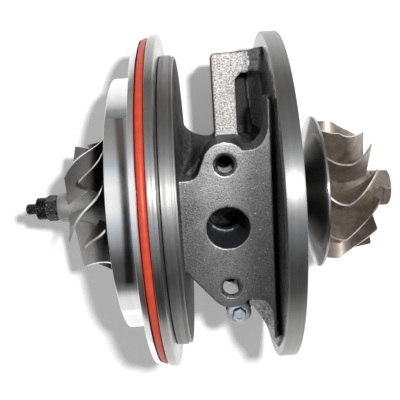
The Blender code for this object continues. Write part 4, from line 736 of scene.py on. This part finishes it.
def blade(stations, steps=6):
    """Points and quads of a closed blade through stations of root and tip, each (x, radius, angle).

    The strip along the outer edge has material 1, the rest 0. The foot is widened into a fillet.
    """
    spans = [0.0, 0.05, 0.12] + [0.12 + 0.88 * i / steps for i in range(1, steps + 1)]
    flare = [1.9, 1.35, 1.08] + [1.0] * steps

    def slope(index, end):
        before = stations[max(index - 1, 0)][end]
        after = stations[min(index + 1, len(stations) - 1)][end]
        run = math.hypot(after[0] - before[0], after[1] - before[1])
        return stations[index][end][1] * math.radians(after[2] - before[2]) / run

    rows = []
    for index, (root, tip, root_width, tip_width) in enumerate(stations):
        sides = []
        for side in (-1, 1):
            ends = []
            for (px, pr, pa), width, end in ((root, root_width, 0), (tip, tip_width, 1)):
                turn = math.radians(pa) + side * width * math.hypot(1.0, slope(index, end)) / 2 / pr
                ends.append(np.array((px, pr * math.sin(turn), pr * math.cos(turn))))
            sides.append(ends)
        row = []
        for side in (0, 1):
            line = []
            for share, widen in zip(spans, flare):
                here = sides[side][0] * (1 - share) + sides[side][1] * share
                there = sides[1 - side][0] * (1 - share) + sides[1 - side][1] * share
                centre = (here + there) / 2
                line.append(centre + (here - centre) * widen)
            row += line if side == 0 else line[::-1]
        rows.append(row)
    count = len(rows[0])
    points = np.array(rows).reshape(-1, 3)
    faces, index = [], []
    top = len(spans) - 1
    for i in range(len(rows) - 1):
        for j in range(count):
            k = (j + 1) % count
            faces.append((i * count + j, i * count + k, (i + 1) * count + k, (i + 1) * count + j))
            index.append(1 if j == top else 0)
    last = (len(rows) - 1) * count
    for j in range(len(spans) - 1):
        faces.append((j, count - 1 - j, count - 2 - j, j + 1))
        faces.append((last + j, last + j + 1, last + count - 2 - j, last + count - 1 - j))
        index += [0, 0]
    return points, faces, index


def wheel_mesh(name, hub, blade_sets):
    """A hub and rings of blades as one mesh."""
    shape = bmesh.new()
    shape.from_mesh(hub)
    joined_points, joined_faces, joined_index = [], [], []
    for stations, count, first in blade_sets:
        points, faces, index = blade(stations)
        for i in range(count):
            turn = math.radians(first + 360.0 * i / count)
            cosine, sine = math.cos(turn), math.sin(turn)
            turned = np.array([[1, 0, 0], [0, cosine, sine], [0, -sine, cosine]])
            base = sum(len(p) for p in joined_points)
            joined_points.append(points @ turned.T)
            joined_faces += [tuple(base + v for v in f) for f in faces]
            joined_index += index
    blades = mesh_from(name + "_blades", np.concatenate(joined_points), joined_faces, joined_index)
    face_out(blades)
    shape.from_mesh(blades)
    mesh = bpy.data.meshes.new(name)
    shape.to_mesh(mesh)
    shape.free()
    return mesh


def compressor_hub_curve(swing):
    """Place along the axis and radius of the hub, from its front (0) to its rim (90)."""
    turn = math.radians(swing)
    return hub_front + 18.3 * math.sin(turn), 29.5 - 24.1 * math.cos(turn)


def compressor_sweep(share):
    """Angle that a compressor blade has swept at a share of its way, in degrees."""
    along = math.sin(math.radians(90.0 * share)) ** (2.0 / 2.4)
    return 46.0 * (2.115 * along - 2.36 * along ** 2 + 1.245 * along ** 3)


def compressor_station(root_share, tip_share):
    """Root and tip of a compressor blade, from leading edge (0) to trailing edge (1)."""
    turn = math.radians(90.0 * root_share)
    hub_x, hub_radius = compressor_hub_curve(90.0 * root_share)
    lean = 12.0 * (1.0 - root_share) ** 2
    root = (hub_x + 0.6 * math.sin(turn), hub_radius - 0.6 * math.cos(turn),
            compressor_sweep(root_share) - lean)
    turn = math.radians(90.0 * tip_share)
    power = 2.0 / 2.4
    tip = (wheel_back - 2.7 - 14.0 * (1.0 - math.sin(turn) ** power), 29.5 - 7.9 * math.cos(turn) ** power,
           compressor_sweep(tip_share))
    thin = 0.45 + 0.55 * math.sin(math.pi * min(1.0, 0.15 + tip_share) / 1.15)
    return root, tip, 1.2, 0.7 * (0.6 + 0.4 * thin)


def compressor_wheel():
    profile = [(nose_front, 2.8), (nose_front, 4.4), (nose_front + 0.6, 5.1), (nose_front + 1.1, 5.35)]
    profile += [(nose_front + 2.5, 5.42)]
    profile += [compressor_hub_curve(90.0 * i / 28) for i in range(29)]
    profile += [(wheel_back - 1.0, 29.5), (wheel_back, 29.5), (wheel_back, 2.8)]
    hub = lathe("compressor_hub", profile, 144)
    full = [compressor_station(i / 30, i / 30) for i in range(31)]
    short = [compressor_station(0.43 + 0.57 * i / 24, 0.18 + 0.82 * i / 24) for i in range(25)]
    mesh = wheel_mesh("compressor_wheel_cast", hub, [(full, 6, -17.7), (short, 6, 12.3)])
    finish_mesh("compressor_wheel_cast", mesh, [WHEEL, WHEEL_EDGE], "rotor",
                ["compressor_wheel"])


def turbine_hub_curve(share):
    """Place along the axis and radius of the hub, from its disc (0) to its nose (1)."""
    turn = math.radians(90.0 * share)
    return disc_front + 17.3 * (1.0 - math.cos(turn)), 7.2 + 17.7 * (1.0 - math.sin(turn)) ** 1.15


def turbine_station(x):
    along = max(x - disc_front, 0.0) / 17.3
    hub = turbine_hub_curve(math.acos(max(-1.0, min(1.0, 1.0 - along))) / math.radians(90.0))[1]
    left = max((blade_end - x) / 11.3, 0.0)
    tip = 24.9 if left >= 1.0 else 20.3 + 4.6 * left ** 2.0
    angle = 0.2128 * (x - 38.7) ** 2
    return (x, min(hub - 0.6, 22.5), angle), (x, tip, angle), 1.2, 0.58


def turbine_wheel():
    profile = [
        (28.2, 3.2), (28.2, 3.8), (turbine_back, 3.8), (turbine_back, 8.2), (28.8, 12.0), (30.1, 17.6),
        (31.1, 22.5), (disc_back, 26.6), (disc_back + 0.15, 26.9), (disc_back + 0.4, 27.0),
        (disc_front - 0.3, 27.0), (disc_front - 0.08, 26.9), (disc_front, 26.65),
    ]
    profile += [turbine_hub_curve(i / 28) for i in range(29)]
    profile += [(hex_start - 0.8, 6.5), (hex_start + 0.3, 6.2), (hex_start + 0.3, 3.2)]
    hub = lathe("turbine_hub", profile, 144, [2] * 12 + [0] * (len(profile) - 12))
    start = disc_front - 0.4
    stations = [turbine_station(start + (blade_end - start) * i / 30) for i in range(31)]
    mesh = wheel_mesh("turbine_wheel_cast", hub, [(stations, 12, 2.2)])
    finish_mesh("turbine_wheel_cast", mesh, [NICKEL, NICKEL_EDGE, NICKEL_TURNED], "rotor",
                ["turbine_wheel"])
    swing = 9.0
    nose = bar("nose", (hex_start, 0, 0), (turbine_end, 0, 0), 7.0, 6, swing)
    cone = lathe("cone", [(hex_start - 1, 0.01), (hex_start - 1, 7.2), (turbine_end - 0.6, 6.9),
                          (turbine_end, 6.2), (turbine_end, 0.01)], 48)
    nose = boolean(nose, cone, "INTERSECT")
    facing = math.radians(swing - 30.0)
    height = 7.0 * math.cos(math.radians(30.0)) + 1.3 - 0.9
    middle = Vector((hex_start + 2.3, height * math.sin(facing), height * math.cos(facing)))
    across = Vector((0.0, math.cos(facing), -math.sin(facing))) * 7.0
    cutter = bar("cutter", middle - across, middle + across, 1.3, 40)
    nose = boolean(nose, cutter)
    finish_mesh("turbine_hex_nose", nose, [NICKEL], "rotor", ["turbine_wheel"], sharp=25)


def shaft_end():
    """The shaft, the threads of its end, and the black nut."""
    profile = [
        (stub_front, 0.01), (stub_front, 1.5), (stub_front + 0.3, 1.85), (nut_front - 0.3, 1.85),
        (nut_front - 0.3, 2.4), (nut_back, 2.4), (nut_back, 2.5), (-9.65, 2.5), (-9.65, 4.0), (0.0, 4.0),
        (0.5, 3.4), (6.5, 3.4), (7.0, 4.0), (18.9, 4.0), (19.5, 8.2), (turbine_back - 0.3, 8.2),
        (turbine_back - 0.3, 3.5), (28.0, 3.5), (28.0, 0.01),
    ]
    mesh = lathe("shaft_ground", profile, 64, [1] * 5 + [0] * (len(profile) - 5))
    finish_mesh("shaft_ground", mesh, [GROUND, BLACK], "rotor", ["rotor_shaft"])
    ridges = []
    turns, steps = 5.5, 24
    for i in range(int(turns * steps) + 1):
        swing = 2 * math.pi * i / steps
        x = stub_front + 0.25 + 0.62 * i / steps
        fade = min(1.0, i / 8.0, (turns * steps - i) / 8.0)
        ridges.append([(x + dx, r * math.sin(swing), r * math.cos(swing))
                       for dx, r in ((-0.24, 1.7), (0.0, 1.75 + 0.25 * fade), (0.24, 1.7))])
    points = np.array(ridges).reshape(-1, 3)
    faces = []
    for i in range(len(ridges) - 1):
        for j in range(3):
            k = (j + 1) % 3
            faces.append((3 * i + j, 3 * i + k, 3 * i + 3 + k, 3 * i + 3 + j))
    faces += [(0, 2, 1), (len(points) - 3, len(points) - 2, len(points) - 1)]
    thread = face_out(mesh_from("shaft_thread", points, faces))
    finish_mesh("shaft_thread", thread, [BLACK], "rotor", sharp=50)
    pitch = (collar_back - nut_front) / 4
    collar = [(nut_front, 2.7)]
    for i in range(4):
        left = nut_front + i * pitch
        collar += [(left, 3.6), (left + 0.28 * pitch, 4.0), (left + 0.66 * pitch, 4.0)]
        collar += [(left + 0.9 * pitch, 3.6)]
    collar += [(collar_back + 0.3, 3.6), (collar_back + 0.3, 2.7)]
    finish_mesh("nut_collar", lathe("nut_collar", collar, 64), [BLACK], "rotor", ["shaft_nut"])
    hexagon = bar("hexagon", (collar_back, 0, 0), (nut_back, 0, 0), 4.7, 6, -15.0)
    cone = lathe("cone", [(collar_back, 0.01), (collar_back, 4.2), (collar_back + 0.5, 4.7),
                          (nut_back - 0.5, 4.7), (nut_back, 4.3), (nut_back, 0.01)], 48)
    hexagon = boolean(hexagon, cone, "INTERSECT")
    finish_mesh("nut_hexagon", hexagon, [BLACK], "rotor", ["shaft_nut"], sharp=25)


def upright(name, profile, sides):
    """A closed profile of (height, radius) turned about the bolt's axis."""
    mesh = lathe(name, profile, sides)
    turned = Matrix.Rotation(math.radians(-90), 4, "Y")
    mesh.transform(Matrix.Translation((EAR_X, EAR_Y, 0.0)) @ turned)
    return mesh


def gallery_bolt():
    """The zinc plated bolt in the ear, with its flange, head and socket; the head's sides are painted dark as
    painted shade.
    """
    seat = 15.3
    flange = [(3.0, 0.01), (3.0, 1.7), (3.3, 2.0), (seat, 2.0), (seat, 4.2), (seat + 0.15, 4.35),
              (seat + 0.55, 4.35), (seat + 0.8, 4.1), (seat + 1.15, 3.2), (seat + 1.2, 0.01)]
    finish_mesh("bolt_flange", upright("bolt_flange", flange, 96), [ZINC], "housing",
                ["gallery_bolt"])
    head = bar("head", (EAR_X, EAR_Y, seat + 1.0), (EAR_X, EAR_Y, seat + 3.6), 2.5, 6, 12.0)
    dome = upright("dome", [(seat + 0.9, 0.01), (seat + 0.9, 2.5), (seat + 3.0, 2.45), (seat + 3.6, 1.95),
                            (seat + 3.6, 0.01)], 64)
    head = boolean(head, dome, "INTERSECT")
    socket = bar("socket", (EAR_X, EAR_Y, seat + 3.2), (EAR_X, EAR_Y, seat + 5.0), 1.2, 6, 0.0)
    head = boolean(head, socket)
    # The head's sides get painted shade, its top zinc
    for side in head.polygons:
        side.material_index = 0 if side.normal.z > 0.5 else 1
    finish_mesh("bolt_head", head, [ZINC, SHADE_PAINT], "housing", ["gallery_bolt"], sharp=25)


def heat_shield():
    """The pressed cup between the flange and the turbine wheel."""
    profile = [(20.0, 21.9), (20.0, 22.7), (25.3, 22.7)] + arc((25.3, 21.5), 1.2, 90, 0, 6)
    profile += [(26.5, 10.2), (25.7, 10.2), (25.7, 21.9)]
    finish_mesh("heat_shield_pressed", lathe("heat_shield_pressed", profile, 160), [SHEET], "housing",
                ["heat_shield"])


# Camera, floor and light

def camera():
    """The camera model that was fitted to the photo's circles."""
    made = bpy.data.objects.new("photo_camera", bpy.data.cameras.new("photo_camera"))
    bpy.context.scene.collection.objects.link(made)
    across = Vector((0.9978, -0.0662, 0.0002)).normalized()
    back = Vector((0.0168, 0.2554, 0.9667)).normalized()
    up = back.cross(across).normalized()
    across = up.cross(back)
    turned = Matrix((across, up, back)).transposed().to_4x4()
    made.matrix_world = Matrix.Translation(ORIGIN + Vector((-0.0051, 0.0488, 0.1939531))) @ turned
    made.data.sensor_width = 36.0
    made.data.lens = 49.77
    made.data.shift_x = -0.00075
    made.data.shift_y = 0.01275
    made.data.clip_start = 0.005
    made.data.clip_end = 20.0
    bpy.context.scene.camera = made


def floor():
    """A white table that mirrors see a little brighter in front of the object and darker behind it."""
    corners = [(-1.5, -1.5, 0), (1.5, -1.5, 0), (1.5, 1.5, 0), (-1.5, 1.5, 0)]
    mesh = mesh_from("floor", corners, [(0, 1, 2, 3)])
    made = bpy.data.objects.new("floor", mesh)
    bpy.context.scene.collection.objects.link(made)
    material, tree, shader = new_material("white_table", (0.9, 0.9, 0.9), 0.9, 0.0)
    shader.inputs["Specular IOR Level"].default_value = 0.0
    point = place_in_mm(tree)
    grain = noise(tree, point, 0.05, 2.0, 0.5)
    path = node(tree, "ShaderNodeLightPath")
    depth = node(tree, "ShaderNodeSeparateXYZ", {0: point}).outputs[1]
    # In a mirror the floor dims from 60 mm on towards +Y, and glows more from 150 mm on towards -Y
    glossy = path.outputs["Is Glossy Ray"]
    dim = math_node(tree, "MULTIPLY", span(tree, depth, 60.0, 400.0, 0.0, 0.65), glossy)
    lift = math_node(tree, "MULTIPLY", span(tree, depth, -150.0, -600.0, 0.0, 0.45), glossy)
    white = mix(tree, grain, (0.89, 0.89, 0.89), (0.91, 0.91, 0.91))
    tree.links.new(mix(tree, dim, white, (0.0, 0.0, 0.0)), shader.inputs["Base Color"])
    seen = math_node(tree, "MAXIMUM", path.outputs["Is Camera Ray"], glossy)
    seen = math_node(tree, "MAXIMUM", seen, path.outputs["Is Transmission Ray"])
    glow = math_node(tree, "MULTIPLY", seen, math_node(tree, "SUBTRACT", 1.0, dim))
    shader.inputs["Emission Color"].default_value = (1.0, 1.0, 1.0, 1.0)
    glow = math_node(tree, "MULTIPLY_ADD", glow, FLOOR_GLOW, lift)
    tree.links.new(glow, shader.inputs["Emission Strength"])
    mesh.materials.append(material)


def key_lamp():
    """One small lamp above the turbine side, as strong at every distance."""
    lamp = bpy.data.lights.new("key", "POINT")
    lamp.energy = KEY
    lamp.shadow_soft_size = 0.0065
    lamp.use_nodes = True
    emission = lamp.node_tree.nodes["Emission"]
    even = node(lamp.node_tree, "ShaderNodeLightFalloff", {"Strength": 1.0})
    lamp.node_tree.links.new(even.outputs["Constant"], emission.inputs["Strength"])
    made = bpy.data.objects.new("key", lamp)
    bpy.context.scene.collection.objects.link(made)
    made.location = ORIGIN + Vector((0.031, 0.076, 0.232))


def studio():
    """Plain light from all round; mirrors see bands that change with the angle about the rotor axis."""
    world = bpy.data.worlds.new("studio")
    world.use_nodes = True
    bpy.context.scene.world = world
    tree = world.node_tree
    back = tree.nodes["Background"]
    direction = node(tree, "ShaderNodeTexCoord").outputs["Generated"]
    parts = node(tree, "ShaderNodeSeparateXYZ", {0: direction}).outputs
    angle = math_node(tree, "ARCTAN2", parts[1], parts[2])
    place = span(tree, angle, -math.pi, math.pi)
    # Each stop is an angle in degrees, from straight up towards +Y, and a tone
    low = [(-90, 0.9), (-80, 0.86), (-75, 0.79), (-66, 0.21)]
    stops = low + [(-57, 0.077), (-38, 0.088), (-29, 0.17), (-20, (0.33, 0.345, 0.36)),
                   (-10, (0.51, 0.54, 0.57)), (0, (0.74, 0.78, 0.82)), (9, 0.98), (28, 1.0),
                   (38, (0.8, 0.85, 0.9)), (47, (0.53, 0.57, 0.63)), (57, 0.44), (66, (0.36, 0.35, 0.34)),
                   (75, (0.31, 0.3, 0.29)), (90, (0.285, 0.275, 0.26)), (97, 0.3)]
    room = ramp(tree, place, [((degrees + 180) / 360, colour) for degrees, colour in stops])
    stops = low + [(-58, 0.01), (5, 0.005), (22, 0.1), (40, 0.035), (60, (0.1, 0.08, 0.07)),
                   (93, (0.13, 0.11, 0.1)), (97, 0.3)]
    strip = ramp(tree, place, [((degrees + 180) / 360, colour) for degrees, colour in stops])
    # A narrow dark band that the spigot mirrors
    edges = [(0.22, 0.0), (0.36, 1.0), (0.64, 1.0), (0.7, 0.0)]
    room = mix(tree, ramp(tree, span(tree, parts[0], -0.17, -0.13), edges), room, strip)
    path = node(tree, "ShaderNodeLightPath")
    shiny = math_node(tree, "MAXIMUM", path.outputs["Is Glossy Ray"], path.outputs["Is Transmission Ray"])
    colour = mix(tree, shiny, (AMBIENT, AMBIENT, AMBIENT), room)
    colour = mix(tree, path.outputs["Is Camera Ray"], colour, (1.0, 1.0, 1.0))
    tree.links.new(colour, back.inputs["Color"])
    back.inputs["Strength"].default_value = 1.0


camera()
floor()
key_lamp()
studio()
housing_casting()
housing_discs()
back_plate()
compressor_wheel()
turbine_wheel()
shaft_end()
gallery_bolt()
heat_shield()

for name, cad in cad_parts.items():
    if not cad.hide_render:
        material = CARRIED.get(name, GROUND)
        if not cad.material_slots:
            cad.data.materials.append(material)
        for place in cad.material_slots:
            place.material = material

bpy.context.scene.view_settings.view_transform = "Standard"
